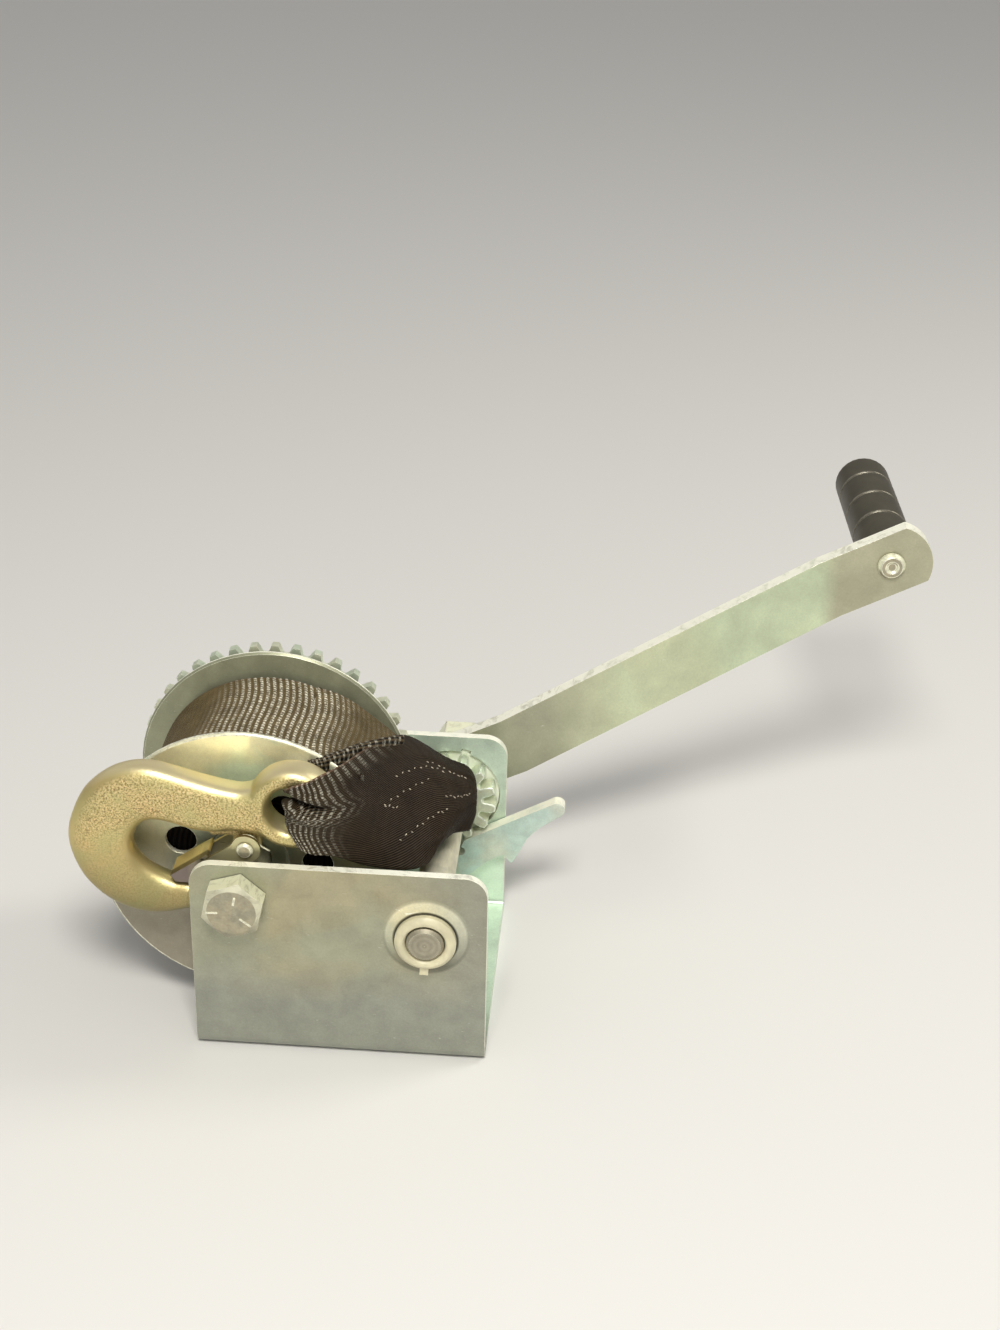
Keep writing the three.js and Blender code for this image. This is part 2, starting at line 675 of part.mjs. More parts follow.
function crankArm(crank) {
  // The arm's side view: its distance along the arm, and its rise away from the frame.
  const tilt = THREE.MathUtils.degToRad(armEndSlope);
  const tip = crankLength + armEndRadius;
  const near = [
    [-armHubEnd, 0], [armFirstBend, 0], [armSecondBend, armRise],
    [tip, armRise + (tip - armSecondBend) * Math.tan(tilt)],
  ];
  const middle = Math.atan2(armRise, armSecondBend - armFirstBend);
  const far = near.map(([s, y], i) => {
    const lean = [0, middle / 2, (middle + tilt) / 2, tilt][i];
    return [s - armThickness * Math.tan(lean), y + armThickness];
  });
  const side = new THREE.Shape([...near, ...far.reverse()].map(([s, y]) => new THREE.Vector2(s, y)));
  const strip = new THREE.ExtrudeGeometry(side, { depth: 2 * armWidth, bevelEnabled: false });
  // Side view in X and Y, extruded along Z.
  strip.translate(0, armNearY, -armWidth);

  const half = armWidth / 2;
  const endAngle = Math.asin(half / armEndRadius);
  const outline = new THREE.Shape();
  outline.moveTo(0, half);
  outline.absarc(0, 0, half, Math.PI / 2, 1.5 * Math.PI);
  outline.lineTo(crankLength, -half);
  outline.absarc(crankLength, 0, armEndRadius, -endAngle, endAngle);
  outline.lineTo(0, half);
  const plan = slabY(outline, armNearY - 5, armNearY + armRise + 20, { curveSegments: 16 });

  const pinAxis = (g) => g.rotateZ(tilt).translate(crankLength, gripOriginY(), 0);
  const pinHole = pinAxis(bar(gripPinRadius + touchGap, -10, 15));
  const round = bar(shaftRadius + touchGap, 0, armFarY + 20, 0, 0, 32);
  const width = shaftRadius - shaftFlatDepth + touchGap;
  const drive = common(round, box(-width, width, 0, armFarY + 20, -shaftRadius * 2, shaftRadius * 2));
  const arm = cut(common(strip, plan), drive, pinHole);
  arm.rotateY(-THREE.MathUtils.degToRad(crankAngle)).translate(shaftX, 0, shaftZ);
  place('crank_arm', arm, zinc(), crank);
}

// The near face of the arm's end where the grip's pin goes through, measured along Y.
function gripOriginY() {
  const tilt = THREE.MathUtils.degToRad(armEndSlope);
  return armNearY + armRise + (crankLength - armSecondBend) * Math.tan(tilt);
}

// From a frame on the grip's own axis, Y away from the arm's near face, to the winch.
function toGrip(geometry) {
  const tilt = THREE.MathUtils.degToRad(armEndSlope);
  geometry.rotateZ(tilt).translate(crankLength, gripOriginY(), 0);
  return geometry.rotateY(-THREE.MathUtils.degToRad(crankAngle)).translate(shaftX, 0, shaftZ);
}

function grip(crank) {
  const tilt = THREE.MathUtils.degToRad(armEndSlope);
  const start = armThickness / Math.cos(tilt) + 1;
  const end = start + gripLength;
  const bore = gripPinRadius + runGap;
  const profile = [[bore, start], [gripRadius - 1, start], [gripRadius, start + 1]];
  for (let i = 1; i <= gripGrooveCount; i++) {
    const at = start + gripGrooveSpacing * i;
    profile.push([gripRadius, at - gripGrooveWidth / 2],
      [gripRadius - gripGrooveDepth, at - gripGrooveWidth / 4],
      [gripRadius - gripGrooveDepth, at + gripGrooveWidth / 4],
      [gripRadius, at + gripGrooveWidth / 2]);
  }
  profile.push([gripRadius, end - gripEndChamfer], [gripRadius - gripEndChamfer / 2, end - 0.5],
    [gripRadius - gripEndChamfer, end], [gripRecessRadius, end],
    [gripRecessRadius, end - gripRecessDepth], [bore, end - gripRecessDepth], [bore, start]);
  place('grip', toGrip(turned(profile, 28)), plastic(), crank);

  const head = -touchGap;
  const endHead = end - gripRecessDepth + touchGap;
  const pin = turned([[0, head - gripPinHeadHeight + 0.8], [1.6, head - gripPinHeadHeight + 0.8],
    [2.4, head - gripPinHeadHeight], [gripPinHeadRadius - 1.2, head - gripPinHeadHeight + 0.2],
    [gripPinHeadRadius, head - 1], [gripPinHeadRadius, head], [gripPinRadius, head],
    [gripPinRadius, endHead], [gripPinHeadRadius, endHead],
    [gripPinHeadRadius - 1, endHead + 2], [0, endHead + 2]], 28);
  place('grip_pin', toGrip(pin), zinc(), crank);
}

// ---------------------------------------------------------------- pawl

function pawl() {
  const far = farPlateIn - pawlPlateGap;
  // The nose stands clear of the pinion's tips. The lever's thumb end is at the top right.
  const noseRadius = pinionTipRadius + toothGap;
  const nose = direction(-72).map((v, i) => [shaftX, shaftZ][i] + noseRadius * v);
  const shape = new THREE.Shape();
  // Places are given in pawl lengths from the shaft's axis.
  const at = (x, z) => [shaftX + x * pawlLength, shaftZ + z * pawlLength];
  shape.moveTo(...nose);
  shape.lineTo(...at(0.9334, 0.0171));
  shape.absarc(...at(0.9676, -0.0439), pawlThumbRadius, 2.05, -0.9, true);
  shape.quadraticCurveTo(...at(0.7944, -0.2341), ...at(0.7017, -0.3707));
  shape.lineTo(...at(0.6285, -0.5317));
  shape.lineTo(...at(0.5798, -0.6244));
  shape.lineTo(...at(0.5578, -0.6317));
  shape.lineTo(...at(0.492, -0.5537));
  shape.lineTo(...at(0.4529, -0.5683));
  shape.quadraticCurveTo(...at(0.3359, -0.622), ...at(0.2115, -0.7634));
  shape.lineTo(...at(0.1163, -0.8293));
  shape.quadraticCurveTo(...at(0.0676, -0.7415), ...at(0.0724, -0.6073));
  shape.lineTo(...at(0.0846, -0.5366));
  shape.closePath();
  const plate = slabY(shape, far - pawlThickness, far, { curveSegments: 6 });
  // The pivot's hole is blind, so that the face beside the drum is whole.
  const holeEnd = far - pawlThickness + pawlSkin;
  const pinHole = bar(pawlPinRadius + runGap, holeEnd, farPlateOut, pawlPivotX, pawlPivotZ);
  const notch = bar(pawlNotchRadius, 0, farPlateOut, nose[0] - pawlNotchInset,
    pawlPivotZ - pawlNotchDrop, 14);
  place('pawl', cut(plate, pinHole, notch), zinc());

  const headStart = farPlateOut + touchGap;
  place('pawl_pin', turned([[0, holeEnd + touchGap], [pawlPinRadius, holeEnd + touchGap],
    [pawlPinRadius, headStart], [pawlPinHeadRadius, headStart],
    [pawlPinHeadRadius - 1, headStart + pawlPinHeadHeight], [0, headStart + pawlPinHeadHeight]],
    24, pawlPivotX, pawlPivotZ), zinc());
}

// ---------------------------------------------------------------- loose end of the strap

// A place seen along Y, given in roll radii from the drum's axis.
function inRoll(x, z) {
  return [drumX + x * rollRadius, drumZ + z * rollRadius];
}

// The same with Y: 0 at the hook's plane, 1 at the strap's far edge, and in hook thicknesses
// before the hook's plane.
function tailPlace(x, y, z) {
  const [placeX, placeZ] = inRoll(x, z);
  const room = y < 0 ? hookThickness : strapFarY - hookPlaneY;
  return new THREE.Vector3(placeX, hookPlaneY + y * room, placeZ);
}

// The lower layer: from where it leaves the roll, over the shaft, to the fold.
function strapLead() {
  const [c, s] = direction(strapLeaveAngle);
  const base = rollRadius + touchGap + 0.1;
  const under = [[drumX + base * c, drumZ + base * s], inRoll(0.7143, 0.7471), inRoll(0.9016, 0.5785),
    inRoll(1.1358, 0.37), inRoll(1.3934, 0.178), inRoll(1.534, 0.0749), inRoll(1.623, 0.0117)];
  const curve = new THREE.CatmullRomCurve3(under.map(([x, z]) => new THREE.Vector3(x, 0, z)));
  const rows = curve.getPoints(18);
  const lower = [];
  const upper = [];
  rows.forEach((point, i) => {
    const tangent = curve.getTangent(i / (rows.length - 1));
    lower.push([point.x, point.z]);
    upper.push([point.x - tangent.z * strapThickness, point.z + tangent.x * strapThickness]);
  });
  const lead = slabY(polygon([...lower, ...upper.reverse()]), strapNearY, strapFarY);
  // Its near corner is turned in under the fold.
  const corner = new THREE.BoxGeometry(100, 40, 120);
  const turnedIn = tailPlace(1.63, 0.62, 0);
  corner.translate(0, -20, 0).rotateZ(leadCornerTurn).translate(turnedIn.x, turnedIn.y, 60);
  place('strap_lead', cut(lead, corner), webbing());
}

// The upper layer's outer face: rows from the hook's eye to the fold and round under it, each
// from the strap's far edge to its near one, each place as tailPlace takes it.
const tailRows = [
  [[0.468, -0.775, 0.948], [0.396, -0.775, 0.773], [0.405, -0.775, 0.597], [0.494, -0.775, 0.433]],
  [[0.667, -0.717, 1.068], [0.738, -0.767, 0.843], [0.749, -0.767, 0.609], [0.749, -0.7, 0.365]],
  [[0.794, 0.121, 1.068], [0.972, 0.008, 0.824], [1.019, -0.208, 0.562], [1.042, -0.292, 0.244]],
  [[0.937, 0.635, 0.749], [1.148, 0.378, 0.698], [1.23, 0.212, 0.515], [1.276, 0.076, 0.103]],
  [[1.131, 0.961, 0.539], [1.37, 0.711, 0.468], [1.464, 0.438, 0.375], [1.464, 0.189, 0.066]],
  [[1.429, 0.992, 0.333], [1.571, 0.771, 0.309], [1.628, 0.514, 0.269], [1.534, 0.28, 0.112]],
  [[1.679, 0.992, 0.131], [1.74, 0.801, 0.133], [1.731, 0.62, 0.117], [1.595, 0.444, 0.063]],
  [[1.749, 0.989, 0.028], [1.768, 0.831, 0.023], [1.763, 0.68, 0.016], [1.707, 0.553, 0.005]],
  [[1.735, 0.986, -0.042], [1.745, 0.847, -0.049], [1.738, 0.726, -0.052], [1.693, 0.614, -0.052]],
];

function strapTail() {
  const across = 9;
  const along = 24;
  const columns = tailRows[0].map((_, v) => new THREE.CatmullRomCurve3(
    tailRows.map((row) => tailPlace(...row[v]))));
  const point = (u, v) => {
    const line = columns.map((column) => column.getPoint(u));
    return new THREE.CatmullRomCurve3(line).getPoint(v);
  };
  const top = [];
  const bottom = [];
  const step = 0.01;
  for (let i = 0; i <= along; i++) {
    for (let j = 0; j <= across; j++) {
      const u = i / along;
      const v = j / across;
      const p = point(u, v);
      const du = point(Math.min(1, u + step), v).sub(point(Math.max(0, u - step), v));
      const dv = point(u, Math.min(1, v + step)).sub(point(u, Math.max(0, v - step)));
      const normal = du.cross(dv).normalize();
      top.push(p);
      bottom.push(p.clone().addScaledVector(normal, tailThickness));
    }
  }
  const sheet = sheetSolid(top, bottom, along + 1, across + 1);
  place('strap_tail', join(sheet, strapLoop()), webbing());
}

// A closed solid between two grids of points.
function sheetSolid(top, bottom, rows, columns) {
  const positions = [...top, ...bottom].flatMap((p) => [p.x, p.y, p.z]);
  const offset = top.length;
  const index = [];
  const quad = (a, b, c, d) => index.push(a, b, c, a, c, d);
  const id = (i, j) => i * columns + j;
  for (let i = 0; i + 1 < rows; i++) {
    for (let j = 0; j + 1 < columns; j++) {
      quad(id(i, j), id(i, j + 1), id(i + 1, j + 1), id(i + 1, j));
      quad(offset + id(i, j), offset + id(i + 1, j), offset + id(i + 1, j + 1), offset + id(i, j + 1));
    }
  }
  for (let i = 0; i + 1 < rows; i++) {
    quad(id(i, 0), id(i + 1, 0), offset + id(i + 1, 0), offset + id(i, 0));
    const j = columns - 1;
    quad(id(i + 1, j), id(i, j), offset + id(i, j), offset + id(i + 1, j));
  }
  for (let j = 0; j + 1 < columns; j++) {
    quad(id(0, j + 1), id(0, j), offset + id(0, j), offset + id(0, j + 1));
    const i = rows - 1;
    quad(id(i, j), id(i, j + 1), offset + id(i, j + 1), offset + id(i, j));
  }
  const g = new THREE.BufferGeometry();
  g.setAttribute('position', new THREE.Float32BufferAttribute(positions, 3));
  g.setIndex(index);
  return closed(g);
}

// A closed solid through rings of points, its ends closed flat.
function loft(sections) {
  const sides = sections[0].length;
  const index = [];
  for (let i = 0; i + 1 < sections.length; i++) {
    for (let k = 0; k < sides; k++) {
      const a = i * sides + k;
      const b = i * sides + ((k + 1) % sides);
      index.push(a, b, b + sides, a, b + sides, a + sides);
    }
  }
  const last = (sections.length - 1) * sides;
  for (let k = 1; k + 1 < sides; k++) {
    index.push(0, k + 1, k, last, last + k, last + k + 1);
  }
  const g = new THREE.BufferGeometry();
  const positions = sections.flat().flatMap((p) => [p.x, p.y, p.z]);
  g.setAttribute('position', new THREE.Float32BufferAttribute(positions, 3));
  g.setIndex(index);
  return closed(g);
}

// The gathered loop that goes through the hook's eye and back. Each station has its middle in
// X from the eye's and in Y, half its height, and half its thickness. All but Y are in radii of
// the eye's hole.
function strapLoop() {
  const hole = eyeHoleRadius;
  const front = hookPlaneY - hookThickness / 2;
  const back = hookPlaneY + hookThickness / 2;
  const stations = [
    [0.875, front - 0.238 * hole, 1.313, 0.175],
    [0.375, front - 0.238 * hole, 1.125, 0.175],
    [0.2, front + 0.125 * hole, 0.75, 0.25],
    [0.375, hookPlaneY, 0.6, 0.288],
    [0.5, back - 0.188 * hole, 0.65, 0.2],
    [0.813, back + 0.156 * hole, 0.875, 0.106],
    [1.5, back + 0.175 * hole, 1.188, 0.106],
    [2.25, back + 0.125 * hole, 1.313, 0.113],
    [2.813, back - 0.25 * hole, 1.313, 0.125],
  ];
  const path = new THREE.CatmullRomCurve3(stations.map(([x, y]) =>
    new THREE.Vector3(eyeX + x * hole, y, 0)));
  const size = new THREE.CatmullRomCurve3(stations.map(([, , h, t]) =>
    new THREE.Vector3(h * hole, t * hole, 0)));
  const steps = 24;
  const sides = 8;
  const sections = Array.from({ length: steps + 1 }, (_, i) => {
    const centre = path.getPoint(i / steps);
    const tangent = path.getTangent(i / steps);
    const normal = new THREE.Vector3(-tangent.y, tangent.x, 0).normalize();
    const { x: height, y: thick } = size.getPoint(i / steps);
    return Array.from({ length: sides }, (__, k) => {
      const angle = (2 * Math.PI * (k + 0.5)) / sides;
      const round = Math.cos(Math.PI / sides);
      const off = (Math.cos(angle) / round) * thick;
      return new THREE.Vector3(centre.x + normal.x * off, centre.y + normal.y * off,
        eyeZ + (Math.sin(angle) / round) * height);
    });
  });
  return loft(sections);
}

// ---------------------------------------------------------------- hook

// A place in the hook's plane, given in hook lengths from the middle of its eye.
function inHook(x, z) {
  return [eyeX + x * hookLength, eyeZ + z * hookLength];
}

// Stations round the hook from its eye to its point, each an outer and an inner place in hook
// lengths.
const hookStations = [
  [-0.1299, 0.0649, -0.1299, -0.1169],
  [-0.226, 0.0779, -0.2143, -0.1325],
  [-0.2792, 0.0831, -0.2792, -0.1325],
  [-0.3377, 0.0948, -0.3377, -0.1429],
  [-0.4156, 0.1143, -0.4351, -0.1377],
  [-0.5195, 0.1455, -0.5325, -0.1104],
  [-0.6234, 0.1688, -0.6013, -0.1013],
  [-0.7208, 0.161, -0.6494, -0.1143],
  [-0.8182, 0.1169, -0.6831, -0.1442],
  [-0.9143, 0.026, -0.7039, -0.1818],
  [-0.9766, -0.1013, -0.7117, -0.2156],
  [-1, -0.2078, -0.7117, -0.2442],
  [-0.9857, -0.3117, -0.7013, -0.2805],
  [-0.939, -0.4221, -0.6818, -0.3117],
  [-0.8571, -0.513, -0.6545, -0.3403],
  [-0.7558, -0.5714, -0.6169, -0.3675],
  [-0.6558, -0.5896, -0.574, -0.3896],
  [-0.5649, -0.5792, -0.526, -0.4039],
  [-0.487, -0.5558, -0.4779, -0.4078],
];

function hookBody() {
  const perCorner = 4;
  const section = ([outerX, outerZ, innerX, innerZ], shrink = 0) => {
    const [[ox, oz], [ix, iz]] = [inHook(outerX, outerZ), inHook(innerX, innerZ)];
    const half = Math.hypot(ox - ix, oz - iz) / 2;
    const [ux, uz] = [(ox - ix) / (2 * half), (oz - iz) / (2 * half)];
    const wide = half - shrink;
    const thick = hookThickness / 2 - shrink * 0.6;
    const round = Math.min(hookRounding, wide - 0.3, thick - 0.3);
    const points = [];
    for (let corner = 0; corner < 4; corner++) {
      const su = corner === 0 || corner === 3 ? 1 : -1;
      const sy = corner < 2 ? 1 : -1;
      for (let k = 0; k < perCorner; k++) {
        const angle = (Math.PI / 2) * (corner + k / (perCorner - 1));
        const u = su * (wide - round) + round * Math.cos(angle);
        const y = sy * (thick - round) + round * Math.sin(angle);
        points.push(new THREE.Vector3((ox + ix) / 2 + ux * u, hookPlaneY + y,
          (oz + iz) / 2 + uz * u));
      }
    }
    return points;
  };
  const sections = hookStations.map((station) => section(station));
  // The point is rounded off beyond the last station.
  const tip = [[-0.4364, -0.5377, -0.4338, -0.413, 0.5],
    [-0.4065, -0.5195, -0.4052, -0.4234, 1.2],
    [-0.3896, -0.4987, -0.3896, -0.439, 1.9]];
  for (const [ox, oz, ix, iz, shrink] of tip) {
    sections.push(section([ox, oz, ix, iz], shrink * 0.5));
  }
  return loft(sections);
}

function hookEye() {
  const half = hookThickness / 2;
  const middle = (eyeHoleRadius + eyeOuterRadius) / 2;
  const wide = (eyeOuterRadius - eyeHoleRadius) / 2;
  const round = wide - 0.3;
  const profile = [];
  for (let corner = 0; corner < 4; corner++) {
    const su = corner === 0 || corner === 3 ? 1 : -1;
    const sy = corner < 2 ? 1 : -1;
    for (let k = 0; k < 4; k++) {
      const angle = (Math.PI / 2) * (corner + k / 3);
      profile.push([middle + su * (wide - round) + round * Math.cos(angle),
        hookPlaneY + sy * (half - round) + round * Math.sin(angle)]);
    }
  }
  profile.push(profile[0]);
  return turned(profile, 36, eyeX, eyeZ);
}

function hook() {
  const front = hookPlaneY - hookThickness / 2;
  const back = hookPlaneY + hookThickness / 2;
  const body = join(hookBody(), hookEye());

  // The lug that the latch straddles.
  const lug = new THREE.Shape();
  const r = lugRadius;
  lug.moveTo(...inHook(-0.4091, -0.1169));
  lug.lineTo(...inHook(-0.3636, -0.187));
  lug.lineTo(latchPivotX - r, latchPivotZ - 1);
  lug.absarc(latchPivotX, latchPivotZ, r, Math.PI + 0.2, 2 * Math.PI - 0.2, false);
  lug.lineTo(...inHook(-0.1364, -0.1169));
  lug.closePath();
  const lugNear = hookPlaneY - lugThickness / 2;
  const lugFar = hookPlaneY + lugThickness / 2;
  const web = slabY(lug, lugNear, lugFar, { curveSegments: 6 });
  const rivetHole = bar(latchRivetRadius + touchGap, front, back, latchPivotX, latchPivotZ, 16);
  place('hook', cut(join(body, web), rivetHole), gold());

  const half = latchWidth / 2 + touchGap;
  const tip = half + latchRivetHeadHeight;
  place('latch_rivet', turned([[0, -tip], [latchRivetHeadRadius - 0.7, -tip],
    [latchRivetHeadRadius, -half - 0.4], [latchRivetHeadRadius, -half], [latchRivetRadius, -half],
    [latchRivetRadius, half], [latchRivetHeadRadius, half], [latchRivetHeadRadius, half + 0.4],
    [latchRivetHeadRadius - 0.7, tip], [0, tip]], 20).translate(
    latchPivotX, hookPlaneY, latchPivotZ), zinc());
}

// The latch: a folded channel whose spine looks into the hook, drawn along its own length.
function latch() {
  const half = latchWidth / 2;
  const outline = new THREE.Shape();
  // Its lower edge passes over the drum's sleeve and the hook's point.
  const lower = -1.9;
  outline.moveTo(0, latchOffset);
  outline.absarc(0, 0, latchOffset, Math.PI / 2, Math.PI * 1.72, false);
  outline.lineTo(6.5, lower);
  outline.lineTo(latchLength - 5.5, lower);
  outline.lineTo(latchLength, latchOffset - 2.8);
  outline.lineTo(latchLength, latchOffset);
  outline.lineTo(latchSpineStart, latchOffset);
  outline.lineTo(latchSpineStart - 1.5, latchOffset - 1.4);
  outline.lineTo(3.4, latchOffset - 1.4);
  outline.closePath();
  const solid = slabY(outline, -half, half, { curveSegments: 6 });
  const inner = half - latchSheet;
  const below = latchOffset - latchSheet;
  const channel = box(-2 * latchOffset, latchLength + 5, -inner, inner, -2 * latchOffset, below);
  const open = box(-2 * latchOffset, latchSpineStart, -inner, inner, -20, 20);
  const rivetHole = bar(latchRivetRadius + touchGap, -20, 20, 0, 0, 16);
  const g = cut(solid, channel, open, rivetHole);
  g.rotateX(Math.PI).rotateY(-THREE.MathUtils.degToRad(latchAngle));
  g.translate(latchPivotX, hookPlaneY, latchPivotZ);
  place('hook_latch', g, gold());
}

// A torsion spring round the latch's rivet, one leg under the hook.
function latchSpring() {
  const y0 = -latchWidth / 2 + latchSheet + touchGap + latchSpringWire / 2;
  const perTurn = 10;
  const pitch = latchSpringWire + latchSpringGap;
  const coil = Array.from({ length: latchSpringTurns * perTurn + 1 }, (_, i) => {
    const angle = (2 * Math.PI * i) / perTurn + 0.6;
    return new THREE.Vector3(latchSpringRadius * Math.cos(angle), y0 + (i / perTurn) * pitch,
      latchSpringRadius * Math.sin(angle));
  });
  const points = [new THREE.Vector3(8, y0, -1.2), new THREE.Vector3(5.6, y0, 0.2), ...coil];
  const curve = new THREE.CatmullRomCurve3(points);
  const section = new THREE.Shape();
  section.absarc(0, 0, latchSpringWire / 2, 0, 2 * Math.PI);
  const g = new THREE.ExtrudeGeometry(section, {
    extrudePath: curve, steps: 3 * perTurn, curveSegments: 3,
  });
  g.translate(latchPivotX, hookPlaneY, latchPivotZ);
  place('latch_spring', closed(g), steel());
}

// ---------------------------------------------------------------- assembly

const crank = new THREE.Group();
winch.add(crank);

frame();
drumBolt();
drum();
anchorBolt();
woundStrap();
bearings();
crankShaft(crank);
crankArm(crank);
grip(crank);
pawl();
strapLead();
strapTail();
hook();
latch();
latchSpring();

export default winch;
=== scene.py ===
"""The looks of a hand-cranked strap winch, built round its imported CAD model.

Lengths are written in millimetres and turned into metres by MM. The frame's underside is at
Z = 0, X runs from the drum's end to the crank's end, and Y runs away from the camera.
"""

import json
import math

import bmesh
import bpy
from mathutils import Matrix, Vector, noise


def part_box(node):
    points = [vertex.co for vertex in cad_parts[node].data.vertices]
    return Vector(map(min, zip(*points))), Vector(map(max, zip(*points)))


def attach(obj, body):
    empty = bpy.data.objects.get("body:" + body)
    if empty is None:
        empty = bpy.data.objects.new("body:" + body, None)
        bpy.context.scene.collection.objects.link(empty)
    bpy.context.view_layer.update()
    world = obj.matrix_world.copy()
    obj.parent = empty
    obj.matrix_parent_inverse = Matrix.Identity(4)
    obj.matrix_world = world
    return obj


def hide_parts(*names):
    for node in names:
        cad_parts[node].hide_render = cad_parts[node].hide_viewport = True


MM = 0.001
TURN = 2 * math.pi
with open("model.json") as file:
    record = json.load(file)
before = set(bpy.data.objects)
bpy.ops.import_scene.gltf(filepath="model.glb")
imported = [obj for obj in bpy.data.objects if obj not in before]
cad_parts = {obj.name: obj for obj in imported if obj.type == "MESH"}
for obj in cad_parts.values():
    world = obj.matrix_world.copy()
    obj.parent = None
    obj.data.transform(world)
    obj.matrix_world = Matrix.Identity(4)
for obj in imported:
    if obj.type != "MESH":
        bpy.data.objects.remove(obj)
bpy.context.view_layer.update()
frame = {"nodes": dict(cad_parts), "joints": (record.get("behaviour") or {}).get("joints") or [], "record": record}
nodes = frame["nodes"]
body_of_node = {n: b for b, ns in frame["record"]["behaviour"]["bodies"].items() for n in ns}
slot_of_node = {s["node"]: s["material_slot"] for s in frame["record"]["subparts"]}


def joint_axis(name):
    """The x and z of a joint's axis along Y, in mm."""
    place = next(j for j in frame["joints"] if j["name"] == name)["pos_m"]
    return place[0] / MM, place[2] / MM


SHAFT_X, SHAFT_Z = joint_axis("crank_spin")
DRUM_X, DRUM_Z = joint_axis("drum_spin")
STRAP_THICK = 1.9
RIB_PITCH = 2.26
YARN_PITCH = 0.85


# ---------------------------------------------------------------- camera, light and floor

CAMERA_PLACE = Vector((88.2, -633.4, 471.4)) * MM
CAMERA_DOWN = math.radians(28.242)
CAMERA_YAW = math.radians(-3.510)
CAMERA_ROLL = math.radians(1.327)
CAMERA_LENS = 57.94
SENSOR_WIDTH = 36

# Each lamp's name, place, size in metres, watts and colour.
LAMPS = [("key", (0.1, -0.8, 1.15), (0.4, 0.3), 14, (1, 0.97, 0.90)),
         ("right", (0.85, 0.3, 0.95), (0.4, 0.4), 4, (1, 0.96, 0.88)),
         ("front", (-0.25, -1.5, 0.40), (1.1, 0.5), 2.0, (1, 0.98, 0.93))]
LAMPS_AIM = Vector((0, 0, 0.05))
# A studio room, with a bright band above the horizon, so that metal has something to show.
ROOM = [(0.0, (0.40, 0.39, 0.37)), (0.16, (0.50, 0.49, 0.47)), (0.34, (1.0, 0.98, 0.95)),
        (0.58, (0.95, 0.94, 0.91)), (0.80, (0.55, 0.54, 0.53))]
ROOM_STRENGTH = 0.52
FLOOR_HALF = 12.0
FLOOR_COLOUR = (0.74, 0.735, 0.72)


def in_scene(name, data):
    """A new object in the scene."""
    made = bpy.data.objects.new(name, data)
    bpy.context.scene.collection.objects.link(made)
    return made


def make_camera():
    data = bpy.data.cameras.new("camera")
    data.lens = CAMERA_LENS
    data.sensor_width = SENSOR_WIDTH
    data.clip_start = 0.01
    data.clip_end = 20
    camera = in_scene("camera", data)
    camera.matrix_world = (Matrix.Translation(CAMERA_PLACE) @ Matrix.Rotation(-CAMERA_YAW, 4, "Z")
                           @ Matrix.Rotation(math.pi / 2 - CAMERA_DOWN, 4, "X")
                           @ Matrix.Rotation(CAMERA_ROLL, 4, "Z"))
    bpy.context.scene.camera = camera


def make_lamp(name, place, size, power, colour):
    data = bpy.data.lights.new(name, "AREA")
    data.shape = "RECTANGLE"
    data.size, data.size_y = size
    data.energy = power
    data.color = colour
    lamp = in_scene(name, data)
    lamp.location = place
    look = LAMPS_AIM - Vector(place)
    lamp.rotation_euler = look.to_track_quat("-Z", "Y").to_euler()


def make_room():
    world = bpy.data.worlds.new("studio")
    world.use_nodes = True
    bpy.context.scene.world = world
    tree = world.node_tree
    tree.nodes.clear()
    direction = make(tree, "ShaderNodeTexCoord").outputs["Generated"]
    height = make(tree, "ShaderNodeSeparateXYZ", {0: direction}).outputs["Z"]
    lit = make(tree, "ShaderNodeBackground", {
        "Color": ramp(tree, height, ROOM), "Strength": ROOM_STRENGTH})
    make(tree, "ShaderNodeOutputWorld", {"Surface": lit.outputs[0]})


def make_floor():
    mesh = bpy.data.meshes.new("floor")
    h = FLOOR_HALF
    mesh.from_pydata([(-h, -h, 0), (h, -h, 0), (h, h, 0), (-h, h, 0)], [], [(0, 1, 2, 3)])
    new_material("pale_floor", FLOOR_COLOUR, 0.85)
    mesh.materials.append(materials["pale_floor"])
    in_scene("floor", mesh)


# ---------------------------------------------------------------- shader helpers

def make(tree, kind, inputs=None, **settings):
    """A shader node with its settings, and its inputs set to values or linked to sockets."""
    made = tree.nodes.new(kind)
    for key, value in settings.items():
        setattr(made, key, value)
    for key, value in (inputs or {}).items():
        if isinstance(value, bpy.types.NodeSocket):
            tree.links.new(value, made.inputs[key])
        else:
            made.inputs[key].default_value = value
    return made


def ramp(tree, factor, stops):
    """A colour ramp through (place, colour or grey) stops."""
    made = make(tree, "ShaderNodeValToRGB", {"Fac": factor})
    elements = made.color_ramp.elements
    while len(elements) < len(stops):
        elements.new(0.5)
    for element, (place, colour) in zip(elements, stops):
        element.position = place
        rgb = colour if hasattr(colour, "__len__") else (colour,) * 3
        element.color = (*rgb, 1)
    return made.outputs["Color"]


def math_node(tree, operation, *values):
    return make(tree, "ShaderNodeMath", dict(enumerate(values)), operation=operation).outputs[0]


def product(tree, value, *others):
    for other in others:
        value = math_node(tree, "MULTIPLY", value, other)
    return value


def scaled(tree, value, factor, offset):
    """The value times a factor, plus an offset."""
    return math_node(tree, "MULTIPLY_ADD", value, factor, offset)


def wave(tree, value, length):
    """A wave between -1 and 1, whose crests are a length apart."""
    return math_node(tree, "COSINE", product(tree, value, TURN / length))


def remap(tree, value, low, high, to_low=0.0, to_high=1.0):
    """The value's way from low to high, as a way from to_low to to_high."""
    return make(tree, "ShaderNodeMapRange", {
        "Value": value, "From Min": low, "From Max": high,
        "To Min": to_low, "To Max": to_high}).outputs[0]


